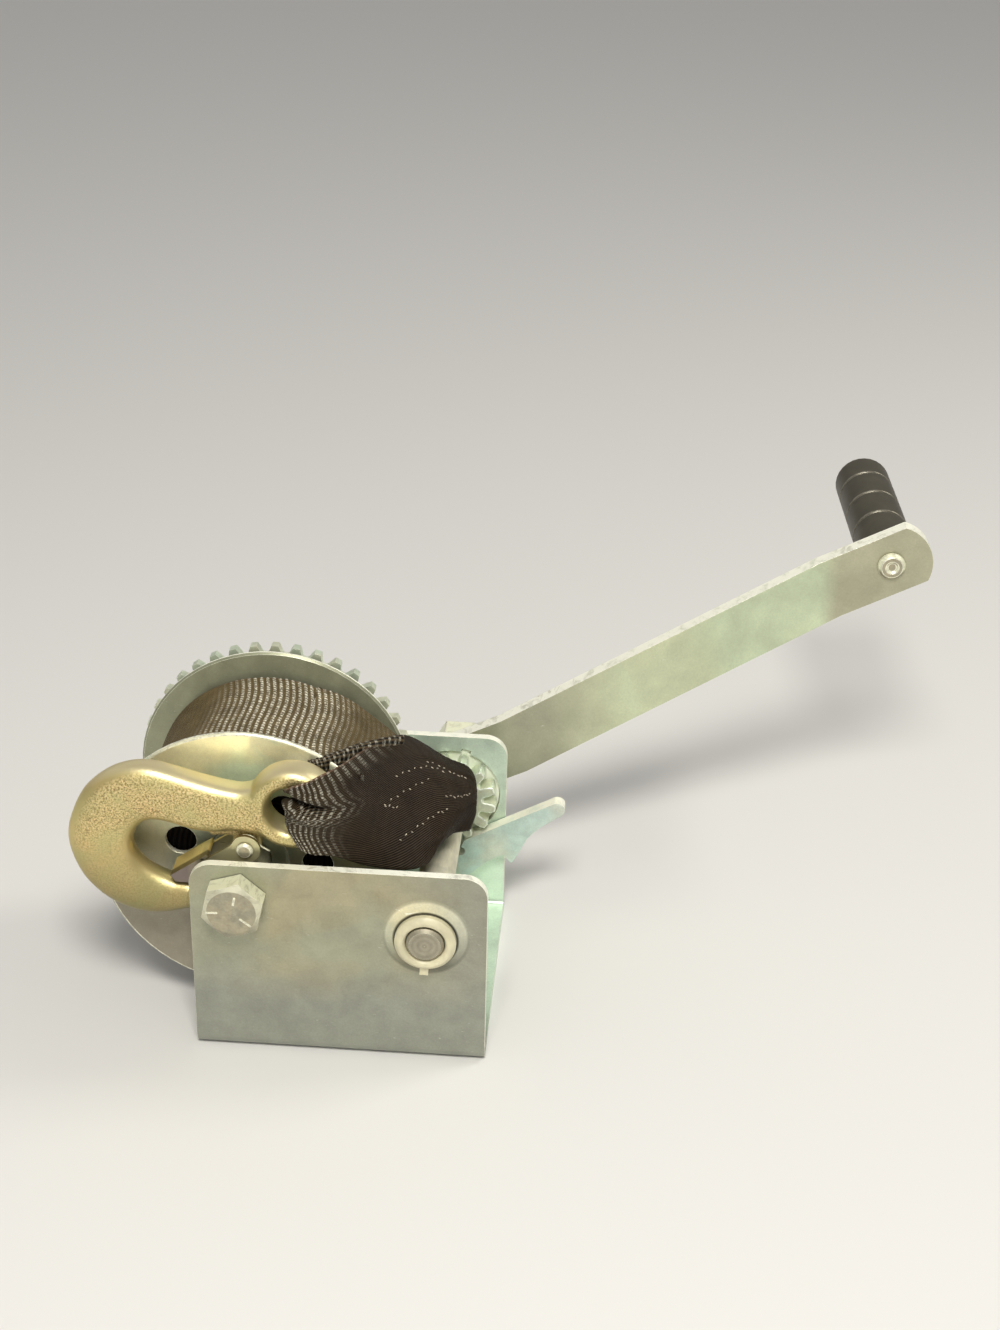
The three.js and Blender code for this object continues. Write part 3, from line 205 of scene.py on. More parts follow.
def mix_colour(tree, factor, a, b, blend="MIX"):
    """Mix's colour sockets are its inputs 6 and 7."""
    wide = [(*c, 1) if isinstance(c, tuple) and len(c) == 3 else c for c in (a, b)]
    made = make(tree, "ShaderNodeMix", {0: factor, 6: wide[0], 7: wide[1]},
                data_type="RGBA", blend_type=blend)
    return made.outputs[2]


def shaded(tree, colour, shade):
    return mix_colour(tree, 1.0, colour, shade, "MULTIPLY")


def times(colour, factor):
    return tuple(c * factor for c in colour)


def place_of(tree, scale=(1, 1, 1)):
    """The object's own coordinates in metres, stretched by scale."""
    own = make(tree, "ShaderNodeTexCoord").outputs["Object"]
    return make(tree, "ShaderNodeMapping", {"Vector": own, "Scale": scale}).outputs[0]


def along_axis(tree, axis):
    """The object's own coordinate along one axis, in metres."""
    return make(tree, "ShaderNodeSeparateXYZ", {0: place_of(tree)}).outputs[axis]


def facing(tree, axis):
    """How far the surface looks along one axis of the object, from -1 to 1."""
    turn = make(tree, "ShaderNodeTexCoord").outputs["Normal"]
    return make(tree, "ShaderNodeSeparateXYZ", {0: turn}).outputs[axis]


def off_y(tree, stops):
    """A ramp over how far the surface looks along Y, to either side."""
    return ramp(tree, math_node(tree, "ABSOLUTE", facing(tree, "Y")), stops)


def distance_from(tree, x, z):
    """The distance from the line along Y through x and z in mm."""
    flat = make(tree, "ShaderNodeCombineXYZ", {0: along_axis(tree, "X"), 1: along_axis(tree, "Z")})
    return make(tree, "ShaderNodeVectorMath", {0: flat.outputs[0], 1: (x * MM, z * MM, 0)},
                operation="DISTANCE").outputs["Value"]


def noise_of(tree, size, detail=3, stretch=(1, 1, 1), roughness=0.55, distortion=0.0):
    """Noise whose features are about size metres across."""
    at = place_of(tree, tuple(s / size for s in stretch))
    return make(tree, "ShaderNodeTexNoise", {
        "Vector": at, "Scale": 1.0, "Detail": detail, "Roughness": roughness,
        "Distortion": distortion}).outputs["Fac"]


def bump(tree, height, distance, normal=None, strength=1.0):
    inputs = {"Height": height, "Distance": distance, "Strength": strength}
    if normal is not None:
        inputs["Normal"] = normal
    return make(tree, "ShaderNodeBump", inputs).outputs[0]


materials = {}


def new_material(name, colour, roughness, metallic=0.0):
    """A new finish, which materials keeps by its name."""
    material = bpy.data.materials.new(name)
    materials[name] = material
    material.use_nodes = True
    tree = material.node_tree
    surface = tree.nodes["Principled BSDF"]
    surface.inputs["Base Color"].default_value = (*colour, 1)
    surface.inputs["Roughness"].default_value = roughness
    surface.inputs["Metallic"].default_value = metallic
    material.diffuse_color = (*colour, 1)
    return tree, surface


def connect(surface, **sources):
    """Links the sources to the shader's colour, roughness, metallic or normal."""
    for name, source in sources.items():
        socket = "Base Color" if name == "colour" else name.title()
        surface.id_data.links.new(source, surface.inputs[socket])


# ---------------------------------------------------------------- materials

RING_SPAN = 20 * MM
RINGS_NEARER_THAN = -46.5 * MM
BOSS_HALF = 11


def ring_shades(tree, colour, rings, belt):
    """Rings of tone round the crank shaft on the near side, and a raised boss's belt of painted light
    above and painted shade below. Their stops are shares of RING_SPAN."""
    out = math_node(tree, "DIVIDE", distance_from(tree, SHAFT_X, SHAFT_Z), RING_SPAN)
    near = math_node(tree, "LESS_THAN", along_axis(tree, "Y"), RINGS_NEARER_THAN)
    colour = mix_colour(tree, near, colour, shaded(tree, colour, ramp(tree, out, rings)))
    if not belt:
        return colour
    # Painted light on the boss's upper side and painted shade on its lower one.
    fade = remap(tree, along_axis(tree, "Z"), (SHAFT_Z - BOSS_HALF) * MM,
                 (SHAFT_Z + BOSS_HALF) * MM, 0.55, 2.1)
    share = product(tree, ramp(tree, out, belt), near)
    return mix_colour(tree, share, colour, shaded(tree, colour, fade))


def painted_edge_highlight(tree, marks, above, stops):
    """Where a painted highlight lies on a sheet's cut edges: turned from Y, not underneath, and above a height in
    mm.
    """
    upward = remap(tree, facing(tree, "Z"), -0.35, -0.1)
    high = math_node(tree, "GREATER_THAN", along_axis(tree, "Z"), above * MM)
    patchy = ramp(tree, marks, [(0.36, 0.55), (0.5, 1.0)])
    return product(tree, off_y(tree, stops), upward, high, patchy)


def threaded(tree, start, pitch, normal):
    """A thread cut beyond a place along Y."""
    along = along_axis(tree, "Y")
    beyond = math_node(tree, "GREATER_THAN", along, start * MM)
    return bump(tree, product(tree, wave(tree, along, pitch * MM), beyond), 0.35 * MM, normal)


def zinc(name, warm, cool, roughness=0.36, patch=34 * MM, grain=0.7 * MM, stretch=(1, 1, 1),
         bump_height=0.012 * MM, tints=(), metallic=0.55, rings=None, belt=None, edge_highlight=None,
         thread=None):
    """Plated steel: wide patches that drift from warm to cool, a fine grain and faint smears.
    Each tint is (axis, low, high, colour): a colour that comes in along an axis, in mm. rings and
    belt are ring_shades' stops. The cut edges' painted highlight is given as (colour, above, stops),
    and thread is (start, pitch)."""
    tree, surface = new_material(name, warm, roughness, metallic)
    patches = noise_of(tree, patch, 2, roughness=0.45, distortion=0.5)
    colour = mix_colour(tree, ramp(tree, patches, [(0.40, 0.0), (0.60, 1.0)]), warm, cool)
    for axis, low, high, tint in tints:
        drift = scaled(tree, math_node(tree, "SUBTRACT", patches, 0.5), 0.5 * (high - low) * MM,
                       along_axis(tree, axis))
        colour = mix_colour(tree, remap(tree, drift, low * MM, high * MM), colour, tint)
    smears = noise_of(tree, patch * 0.4, 4, stretch, 0.6, 0.3)
    colour = shaded(tree, colour, ramp(tree, smears, [(0.3, 0.84), (0.7, 1.10)]))
    marks = noise_of(tree, 7 * MM, 5, (1, 1, 3.5), 0.75, 1.2)
    colour = mix_colour(tree, ramp(tree, marks, [(0.655, 0.0), (0.70, 0.45)]), colour,
                        (0.78, 0.78, 0.66))
    specks = noise_of(tree, grain, 3, stretch, 0.7)
    speckled = ramp(tree, specks, [(0.3, 0.84), (0.7, 1.12)])
    colour = mix_colour(tree, 0.5, colour, speckled, "MULTIPLY")
    if rings:
        colour = ring_shades(tree, colour, rings, belt)
    # The cut edges take a painted highlight: a pale colour and less metal, on edges that do not face down.
    if edge_highlight:
        edge, above, stops = edge_highlight
        cut = painted_edge_highlight(tree, marks, above, stops)
        colour = mix_colour(tree, cut, colour, edge)
        connect(surface, metallic=scaled(tree, cut, -0.35, metallic))
    spread = scaled(tree, smears, 0.2, roughness - 0.1)
    rolled = bump(tree, specks, bump_height)
    skin = bump(tree, noise_of(tree, 22 * MM, 1), 0.25 * MM, rolled, 0.35)
    if thread:
        skin = threaded(tree, *thread, skin)
    connect(surface, colour=colour, roughness=scaled(tree, specks, 0.12, spread), normal=skin)


def edge_highlight_finish(name, colour):
    """A painted highlight for the bevels that break a sheet's edges: a pale rim, broken by darker chips."""
    tree, surface = new_material(name, colour, 0.3, 0.5)
    chips = noise_of(tree, 1.6 * MM, 3, roughness=0.7)
    chipped = ramp(tree, chips, [(0.42, 0.0), (0.52, 1.0)])
    connect(surface, colour=mix_colour(tree, chipped, times(colour, 0.72), colour),
            normal=bump(tree, chips, 0.03 * MM))


def gold_cast(name, light, rosy, dark):
    """Yellow-plated forging: a grainy, faintly rosy shank and smoother rounded edges."""
    tree, surface = new_material(name, light, 0.4, 0.8)
    height = along_axis(tree, "Z")
    flat = off_y(tree, [(0.80, 0.0), (0.97, 1.0)])
    shank = remap(tree, height, 72 * MM, 86 * MM, 0.3)
    drift = noise_of(tree, 15 * MM, 2, roughness=0.5, distortion=0.7)
    grainy = product(tree, flat, shank, ramp(tree, drift, [(0.32, 0.55), (0.55, 1.0)]))
    grain = noise_of(tree, 0.62 * MM, 3, roughness=0.6)
    pits = ramp(tree, grain, [(0.38, dark), (0.50, light), (0.62, rosy)])
    face = mix_colour(tree, grainy, light, pits)
    tone = ramp(tree, drift, [(0.3, (0.88, 0.97, 0.90)), (0.7, (1.05, 1.0, 0.94))])
    face = shaded(tree, face, tone)
    # Painted shade, darker towards the lower limb; and a painted highlight on the upward faces along its back.
    face = shaded(tree, face, remap(tree, height, 46 * MM, 80 * MM, 0.42))
    painted_top_highlight = product(tree, ramp(tree, facing(tree, "Z"), [(0.5, 0.0), (0.85, 0.6)]), shank)
    skin = bump(tree, product(tree, grain, scaled(tree, grainy, 0.8, 0.2)), 0.32 * MM)
    dents = noise_of(tree, 2.6 * MM, 2)
    connect(surface, colour=mix_colour(tree, painted_top_highlight, face, (0.96, 0.85, 0.56)),
            roughness=scaled(tree, grain, 0.3, 0.24),
            normal=bump(tree, dents, 0.12 * MM, skin, 0.5))


def gold_sheet(name, colour, flank_tip, flank_ear):
    """The latch's sheet: bright on its spine, with painted shade along the fold beside it, and duller
    on its sides towards the tip."""
    tree, surface = new_material(name, colour, 0.3, 0.7)
    towards_ear = remap(tree, along_axis(tree, "X"), -52 * MM, -40 * MM)
    # Painted shade: the spine darkens to a third along its near edge, beside the fold.
    fold = remap(tree, along_axis(tree, "Y"), -36.6 * MM, -37.6 * MM)
    spine = mix_colour(tree, fold, colour, times(colour, 0.3))
    flank = off_y(tree, [(0.5, 0.0), (0.8, 1.0)])
    flanks = mix_colour(tree, towards_ear, flank_tip, flank_ear)
    scratches = noise_of(tree, 0.5 * MM, 3, (0.15, 1, 1))
    connect(surface, colour=mix_colour(tree, flank, spine, flanks),
            roughness=scaled(tree, scratches, 0.25, 0.2), normal=bump(tree, scratches, 0.01 * MM))


def webbing(name, yarn, glint_colour, edge):
    """Ribbed webbing. Its UVs are metres, U along the strap and V across it. Its attributes say how
    strong the painted glint on a place's ribs is, where the cut edge shows (rim), and where the
    ground is lighter brown (fade)."""
    tree, surface = new_material(name, yarn, 0.6)
    surface.inputs["Specular IOR Level"].default_value = 0.14
    uv = make(tree, "ShaderNodeUVMap", uv_map="strap").outputs[0]
    split = make(tree, "ShaderNodeSeparateXYZ", {0: uv})
    along, across = split.outputs["X"], split.outputs["Y"]
    painted_glint, rim, fade = [make(tree, "ShaderNodeAttribute", attribute_name=kind).outputs["Fac"]
                        for kind in ("painted_glint", "rim", "fade")]
    rib = wave(tree, along, RIB_PITCH * MM)
    yarns = wave(tree, across, YARN_PITCH * MM)
    # Floats of yarn over each rib, offset from one rib to the next.
    phase = math_node(tree, "ADD", product(tree, across, TURN / (1.9 * YARN_PITCH * MM)),
                      product(tree, along, TURN / (2 * RIB_PITCH * MM)))
    floats = scaled(tree, math_node(tree, "COSINE", phase), 0.5, 0.5)
    speck = noise_of(tree, 0.8 * MM, 2)
    wear = noise_of(tree, 6 * MM, 3)
    # Painted glints: the ribs' crests take the near-white glint colour as far as the glint attribute goes.
    top = ramp(tree, scaled(tree, rib, 0.5, 0.5), [(0.30, 0.0), (0.72, 1.0)])
    top = math_node(tree, "POWER", top, scaled(tree, fade, -1.6, 2.6))
    bright = product(tree, top, ramp(tree, floats, [(0.1, 0.2), (0.6, 1.0)]),
                     ramp(tree, speck, [(0.42, 0.15), (0.58, 1.0)]), painted_glint,
                     ramp(tree, wear, [(0.32, 0.6), (0.6, 1.0)]))
    ground = ramp(tree, scaled(tree, yarns, 0.5, 0.5),
                  [(0.15, times(yarn, 0.2)), (0.95, times(yarn, 3.0))])
    ground = mix_colour(tree, fade, ground, shaded(tree, ground, (4.4, 4.8, 3.9)))
    ground = shaded(tree, ground, ramp(tree, wear, [(0.3, 0.8), (0.7, 1.2)]))
    fuzz = product(tree, rim, ramp(tree, speck, [(0.3, 0.3), (0.6, 1.0)]))
    ground = mix_colour(tree, fuzz, ground, edge)
    relief = product(tree, rib, scaled(tree, painted_glint, 0.85, 0.15))
    connect(surface, colour=mix_colour(tree, bright, ground, glint_colour),
            roughness=scaled(tree, speck, 0.25, 0.45),
            normal=bump(tree, relief, 0.09 * MM, bump(tree, yarns, 0.12 * MM)))


def webbing_side(name, yarn):
    """The stacked edges of the turns, seen through the flanges' holes: rings round the drum, in painted shade."""
    tree, surface = new_material(name, yarn, 0.8)
    surface.inputs["Specular IOR Level"].default_value = 0.1
    turn = wave(tree, distance_from(tree, DRUM_X, DRUM_Z), STRAP_THICK * MM)
    # Painted shade in the gaps between the turns, down to 0.3 of the yarn's colour.
    shade = ramp(tree, scaled(tree, turn, 0.5, 0.5), [(0.1, times(yarn, 0.3)), (0.6, yarn)])
    connect(surface, colour=shade, normal=bump(tree, turn, 0.3 * MM))


def strap_thread(name, colour, gap, crown_glint):
    """The twisted thread of the stitches, whose crowns carry painted glints."""
    tree, surface = new_material(name, colour, 0.45)
    twist = noise_of(tree, 0.3 * MM, 2)
    connect(surface, colour=ramp(tree, twist, [(0.35, gap), (0.6, crown_glint)]),
            normal=bump(tree, twist, 0.03 * MM))


def moulded(name, colour, roughness=0.42):
    """Moulded plastic with a pebbled skin and a little dust."""
    tree, surface = new_material(name, colour, roughness)
    skin = noise_of(tree, 0.35 * MM, 3)
    dust = ramp(tree, noise_of(tree, 9 * MM, 3), [(0.4, 0.0), (0.75, 0.7)])
    pale = tuple(min(1.0, c * 1.5 + 0.008) for c in colour)
    connect(surface, colour=mix_colour(tree, dust, colour, pale),
            roughness=scaled(tree, skin, 0.2, roughness - 0.1), normal=bump(tree, skin, 0.02 * MM))


def make_zinc():
    """The plated steels, with the stops of their shades."""
    # Painted shade in the gap round the bush's rim and at the foot of the boss, with a little painted light on the
    # boss; the boss belt is painted light above and painted shade below.
    painted_gap_rings = [(0.515, 1.0), (0.522, 0.12), (0.548, 0.3), (0.572, 1.05), (0.68, 1.1),
                 (0.715, 0.8), (0.76, 1.0)]
    painted_boss_belt = [(0.53, 0.0), (0.56, 1.0), (0.68, 1.0), (0.76, 0.0)]
    turned_rings = [(0.0, 1.5), (0.02, 0.85), (0.06, 1.1), (0.11, 0.9), (0.16, 1.12), (0.21, 0.9),
                    (0.25, 1.1), (0.28, 0.92), (0.31, 1.0)]
    # Painted highlights for the cut edges: pale colours for the faces turned from Y.
    cut_edge_highlight = ((1.0, 1.0, 0.86), -1, [(0.35, 1.0), (0.7, 0.0)])
    frame_edge_highlight = ((1.0, 1.0, 0.86), 6, [(0.35, 1.0), (0.7, 0.0)])
    hex_side_highlight = ((0.90, 0.91, 0.68), -1, [(0.84, 1.0), (0.95, 0.0)])
    # frame_zinc's last tint, along Y, is painted light: beyond Y -20 mm, on the far plate above all, the sheet
    # turns pale mint as if lit by light bounced inside the frame.
    zinc("frame_zinc", (0.43, 0.395, 0.26), (0.385, 0.39, 0.285), 0.34, patch=30 * MM,
         tints=[("X", 12, 46, (0.345, 0.345, 0.275)), ("Z", 40, 22, (0.335, 0.345, 0.29)),
                ("Y", -42, -20, (0.70, 0.84, 0.70))],
         rings=painted_gap_rings, belt=painted_boss_belt, edge_highlight=frame_edge_highlight)
    # flange_zinc is painted light and shade: the near flange's outer face is very pale, a painted reflection; it
    # darkens downwards below Z 80 mm, and beyond Y -12 mm the far flange darkens, as painted shade.
    zinc("flange_zinc", (0.90, 0.87, 0.60), (0.72, 0.85, 0.65), 0.32, grain=0.5 * MM,
         patch=24 * MM, metallic=0.5, edge_highlight=cut_edge_highlight,
         tints=[("Z", 80, 50, (0.34, 0.31, 0.24)), ("Y", -12, 8, (0.32, 0.33, 0.225))])
    zinc("gear_zinc", (0.74, 0.76, 0.58), (0.68, 0.76, 0.60), 0.32, patch=12 * MM)
    zinc("arm_zinc", (0.58, 0.62, 0.42), (0.58, 0.66, 0.46), 0.34, patch=40 * MM,
         tints=[("X", 164, 170, (0.46, 0.45, 0.32)), ("X", 92, 66, (0.40, 0.40, 0.29))],
         edge_highlight=cut_edge_highlight)
    zinc("pawl_zinc", (0.74, 0.79, 0.68), (0.68, 0.84, 0.77), 0.34, patch=16 * MM,
         edge_highlight=cut_edge_highlight)
    zinc("bolt_steel", (0.45, 0.405, 0.29), (0.38, 0.36, 0.27), 0.28, patch=5 * MM,
         grain=0.9 * MM, bump_height=0.05 * MM, metallic=0.7, edge_highlight=hex_side_highlight)
    zinc("nut_zinc", (0.60, 0.57, 0.40), (0.54, 0.55, 0.40), 0.3, patch=6 * MM,
         grain=0.5 * MM, edge_highlight=hex_side_highlight)
    zinc("shaft_steel", (0.76, 0.72, 0.56), (0.60, 0.59, 0.46), 0.45, patch=8 * MM,
         bump_height=0.06 * MM, stretch=(1, 0.25, 1), rings=turned_rings, thread=(60, 1.5),
         tints=[("Y", -40, -50, (0.36, 0.33, 0.25))])


def make_materials():
    """The finishes of the CAD's slots, and some that only this script's pieces have."""
    make_zinc()
    # The pale bevel finishes are painted highlights along the broken edges.
    edge_highlight_finish("edge_pale", (0.90, 0.89, 0.72))
    edge_highlight_finish("edge_mint", (0.86, 0.92, 0.78))
    edge_highlight_finish("edge_cream", (0.78, 0.72, 0.52))
    edge_highlight_finish("grip_edge", (0.20, 0.185, 0.145))
    moulded("bush_nylon", (0.58, 0.54, 0.37))
    # The far bearing's nylon is paler and greener than the bush's: partly its own colour, partly painted light
    # lifting it out of the shade inside the frame.
    moulded("bearing_nylon", (0.78, 0.84, 0.66))
    moulded("grip_plastic", (0.040, 0.034, 0.018))
    webbing("webbing", (0.0195, 0.0132, 0.0074), (1.0, 0.97, 0.81), (0.18, 0.10, 0.06))
    # The turns' edges are darker than the strap's face: painted shade in the flanges' holes.
    webbing_side("webbing_side", (0.012, 0.009, 0.007))
    strap_thread("strap_thread", (0.05, 0.036, 0.03), (0.07, 0.05, 0.036), (0.62, 0.54, 0.42))
    gold_cast("hook_gold", (0.66, 0.545, 0.26), (0.90, 0.71, 0.42), (0.34, 0.24, 0.11))
    gold_sheet("latch_gold", (0.84, 0.66, 0.26), (0.21, 0.17, 0.15), (0.58, 0.54, 0.33))


# ---------------------------------------------------------------- mesh helpers

def new_piece(name, mesh, node, material=None, extra=False):
    """A piece that rides with a CAD node and takes its finish. It stands for the node, unless it is
    an extra one."""
    piece = in_scene(name, mesh)
    mesh.materials.append(material or materials[slot_of_node[node]])
    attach(piece, body_of_node[node])
    if not extra:
        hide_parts(node)
    return piece


def smooth(mesh, degrees=32):
    """Smooth shading, with edges above an angle left sharp."""
    mesh.shade_smooth()
    mesh.set_sharp_from_angle(angle=math.radians(degrees))


def mesh_of(name, bm):
    """The bmesh as a mesh. The bmesh is freed."""
    mesh = bpy.data.meshes.new(name)
    bm.to_mesh(mesh)
    bm.free()
    return mesh


def add_bar(bm, place, size, broken):
    """Adds a bar of a size in mm to the bmesh, with its edges broken."""
    stretch = Matrix.Diagonal((*(s * MM for s in size), 1))
    bar = bmesh.ops.create_cube(bm, size=1, matrix=place @ stretch)
    edges = dict.fromkeys(edge for vert in bar["verts"] for edge in vert.link_edges)
    bmesh.ops.bevel(bm, geom=list(edges), offset=broken * MM, segments=2, affect="EDGES")


def flat_copy(node):
    """A copy of a CAD node's mesh with its flat faces whole, ready for a bevel."""
    mesh = nodes[node].data.copy()
    mesh.materials.clear()
    bm = bmesh.new()
    bm.from_mesh(mesh)
    bmesh.ops.remove_doubles(bm, verts=bm.verts, dist=0.002 * MM)
    bmesh.ops.dissolve_limit(bm, angle_limit=math.radians(0.6), verts=bm.verts, edges=bm.edges,
                             delimit={"NORMAL"})
    bm.to_mesh(mesh)
    bm.free()
    return mesh


def dressed(node, bevel, segments=2, name=None, limit=32, finish=None, rim=None):
    """A CAD node with its edges broken by a bevel in mm, which has its own finish if rim names one."""
    piece = new_piece(name or node + "_finished", flat_copy(node), node, materials.get(finish))
    edge = piece.modifiers.new("edges", "BEVEL")
    edge.width = bevel * MM
    edge.segments = segments
    edge.limit_method = "ANGLE"
    edge.angle_limit = math.radians(limit)
    edge.use_clamp_overlap = True
    edge.miter_outer = "MITER_ARC"
    if rim:
        piece.data.materials.append(materials[rim])
        edge.material = 1
    smooth(piece.data)
    even = piece.modifiers.new("normals", "WEIGHTED_NORMAL")
    even.keep_sharp = True


def grid_mesh(name, rings, close_rings=True, close_ends=False, uvs=None, weld=0.0):
    """A mesh through rings of points. Each ring is a list of Vectors, all of one length."""
    count = len(rings[0])
    verts = [tuple(p) for ring in rings for p in ring]
    faces = []
    steps = count if close_rings else count - 1
    for i in range(len(rings) - 1):
        for k in range(steps):
            a, b = i * count + k, i * count + (k + 1) % count
            faces.append((a, b, b + count, a + count))
    if close_ends:
        faces.append(tuple(range(count))[::-1])
        last = (len(rings) - 1) * count
        faces.append(tuple(last + k for k in range(count)))
    mesh = bpy.data.meshes.new(name)
    mesh.from_pydata(verts, [], faces)
    if uvs is not None:
        layer = mesh.uv_layers.new(name="strap")
        for polygon in mesh.polygons:
            for loop in polygon.loop_indices:
                layer.data[loop].uv = uvs[mesh.loops[loop].vertex_index]
    bm = bmesh.new()
    bm.from_mesh(mesh)
    if weld:
        bmesh.ops.remove_doubles(bm, verts=bm.verts, dist=weld)
    bmesh.ops.recalc_face_normals(bm, faces=bm.faces)
    bm.to_mesh(mesh)
    bm.free()
    return mesh


def turned(name, profile, segments, centre):
    """A profile of (radius, y) points turned about the line along Y through the centre, in mm."""
    rings = []
    for step in range(segments):
        angle = TURN * step / segments
        rings.append([Vector((r * MM * math.cos(angle), y * MM, r * MM * math.sin(angle)))
                      for r, y in profile])
    rings.append(rings[0])
    mesh = grid_mesh(name, rings, close_rings=False, weld=0.001 * MM)
    mesh.transform(Matrix.Translation(centre * MM))
    smooth(mesh, 40)
    return mesh


def catmull(points, t):
    """A point on a smooth curve through the points, or a number between numbers, at t from 0 to 1."""
    last = len(points) - 1
    at = min(max(t, 0.0), 1.0) * last
    i = min(int(at), last - 1)
    f = at - i
    p1, p2 = points[i], points[i + 1]
    p0 = points[i - 1] if i > 0 else p1 * 2 - p2
    p3 = points[i + 2] if i + 2 <= last else p2 * 2 - p1
    return (p1 * 2 + (p2 - p0) * f + (p0 * 2 - p1 * 5 + p2 * 4 - p3) * f ** 2
            + (p1 * 3 - p0 - p2 * 3 + p3) * f ** 3) * 0.5


# ---------------------------------------------------------------- plain metal pieces

def metal_pieces():
    """Every hard piece but the hook's forging, most with their edges broken."""
    dressed("frame", 0.7, 3, "frame_sheet", limit=40, rim="edge_pale")
    dressed("near_flange", 0.8, 3, "near_flange_pressing", rim="edge_pale")
    dressed("far_flange", 0.8, 3, "far_flange_pressing", rim="edge_pale")
    dressed("drum_gear", 0.5, 3, "drum_gear_wheel", rim="edge_pale")
    dressed("drum_hub", 0.3)
    dressed("drum_sleeve", 0.3)
    for i in range(1, 5):
        dressed(f"gear_rivet_{i}", 0.4, 3)
    dressed("strap_anchor_bolt", 0.4)
    dressed("strap_anchor_nut", 0.4)
    dressed("drum_bolt", 0.35, name="drum_bolt_body", rim="edge_pale")
    dressed("drum_lock_nut", 0.4, finish="nut_zinc", rim="edge_pale")
    dressed("near_bush", 0.7, 3, rim="edge_cream")
    bush_collar()
    dressed("far_bearing", 0.4, finish="bearing_nylon", rim="edge_mint")
    dressed("pinion_shaft", 0.6, rim="edge_pale")
    dressed("pinion", 0.5, 3, rim="edge_mint")
    dressed("crank_spacer", 0.5)
    dressed("crank_washer", 0.3)
    dressed("crank_nut", 0.4, finish="nut_zinc", rim="edge_pale")
    dressed("crank_arm", 0.6, 3, "crank_arm_bar", rim="edge_pale")
    dressed("grip_pin", 0.25, rim="edge_pale")
    dressed("pawl", 0.4, 3, "pawl_lever_plate", rim="edge_mint")
    dressed("pawl_pin", 0.4, 3)
    sheet = new_piece("hook_latch_sheet", flat_copy("hook_latch"), "hook_latch")
    smooth(sheet.data)
    latch_heel()
    dressed("latch_rivet", 0.25, rim="edge_pale")
    bolt_marks()
    dressed("latch_spring", 0.05)


def bush_collar():
    """The bush's tapered nose, which stands out round the shaft's end with a wide bore."""
    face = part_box("near_bush")[0][1] / MM
    bore, rim, root, reach = 6.8, 10.38, 1.0, -1.5
    outline = [(bore, root), (rim, root), (rim, -0.2), (10.1, -0.5), (9.0, -1.45), (8.8, reach),
               (7.7, reach), (7.5, -1.4), (6.85, -0.5), (bore, -0.4), (bore, root)]
    mesh = turned("near_bush_collar", [(r, face + y) for r, y in outline], 96,
                  Vector((SHAFT_X, 0, SHAFT_Z)))
    new_piece("near_bush_collar", mesh, "near_bush", extra=True)


def latch_heel():
    """The latch's spine, carried back towards its rivet between the two sides."""
    start, end, rise = 12.4, 15.6, 4.6
    width, thick = 11.0, 1.2
    lean = Matrix.Rotation(-LATCH_LEAN, 4, "Y")
    middle = Matrix.Translation(Vector((-(start + end) / 2, 0, rise)) * MM)
    bm = bmesh.new()
    add_bar(bm, Matrix.Translation(LATCH_PIVOT * MM) @ lean @ middle, (end - start, width, thick), 0.2)
    mesh = mesh_of("hook_latch_heel", bm)
    smooth(mesh)
    new_piece("hook_latch_heel", mesh, "hook_latch", extra=True)


def bolt_marks():
    """Three raised strength marks on the drum bolt's head."""
    thick, width, sunk = 0.5, 0.8, 0.02
    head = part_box("drum_bolt")[0][1] / MM
    centre = Matrix.Translation(Vector((DRUM_X, head + sunk, DRUM_Z)) * MM)
    bm = bmesh.new()
    for degrees, start, end in ((183, 4.6, 8.6), (78, 3.0, 6.4), (-38, 3.4, 8.2)):
        turn = Matrix.Rotation(-math.radians(degrees), 4, "Y")
        out = Matrix.Translation(Vector(((start + end) / 2, 0, 0)) * MM)
        add_bar(bm, centre @ turn @ out, (end - start, thick, width), 0.15)
    # The marks take edge_pale, the finish of the painted edge highlights.
    new_piece("bolt_head_marks", mesh_of("bolt_head_marks", bm), "drum_bolt",
              materials["edge_pale"], extra=True)


# ---------------------------------------------------------------- hook

HOOK_LENGTH = 77.0
HOOK_HALF = 6.0
HOOK_Y = -35.0
EYE = Vector((-16.0, HOOK_Y, 93.0))
EYE_HOLE, EYE_OUTER = 8.0, 15.4
LATCH_PIVOT = EYE - Vector((16, 0, 15.6))
LATCH_LEAN = math.radians(35.5)
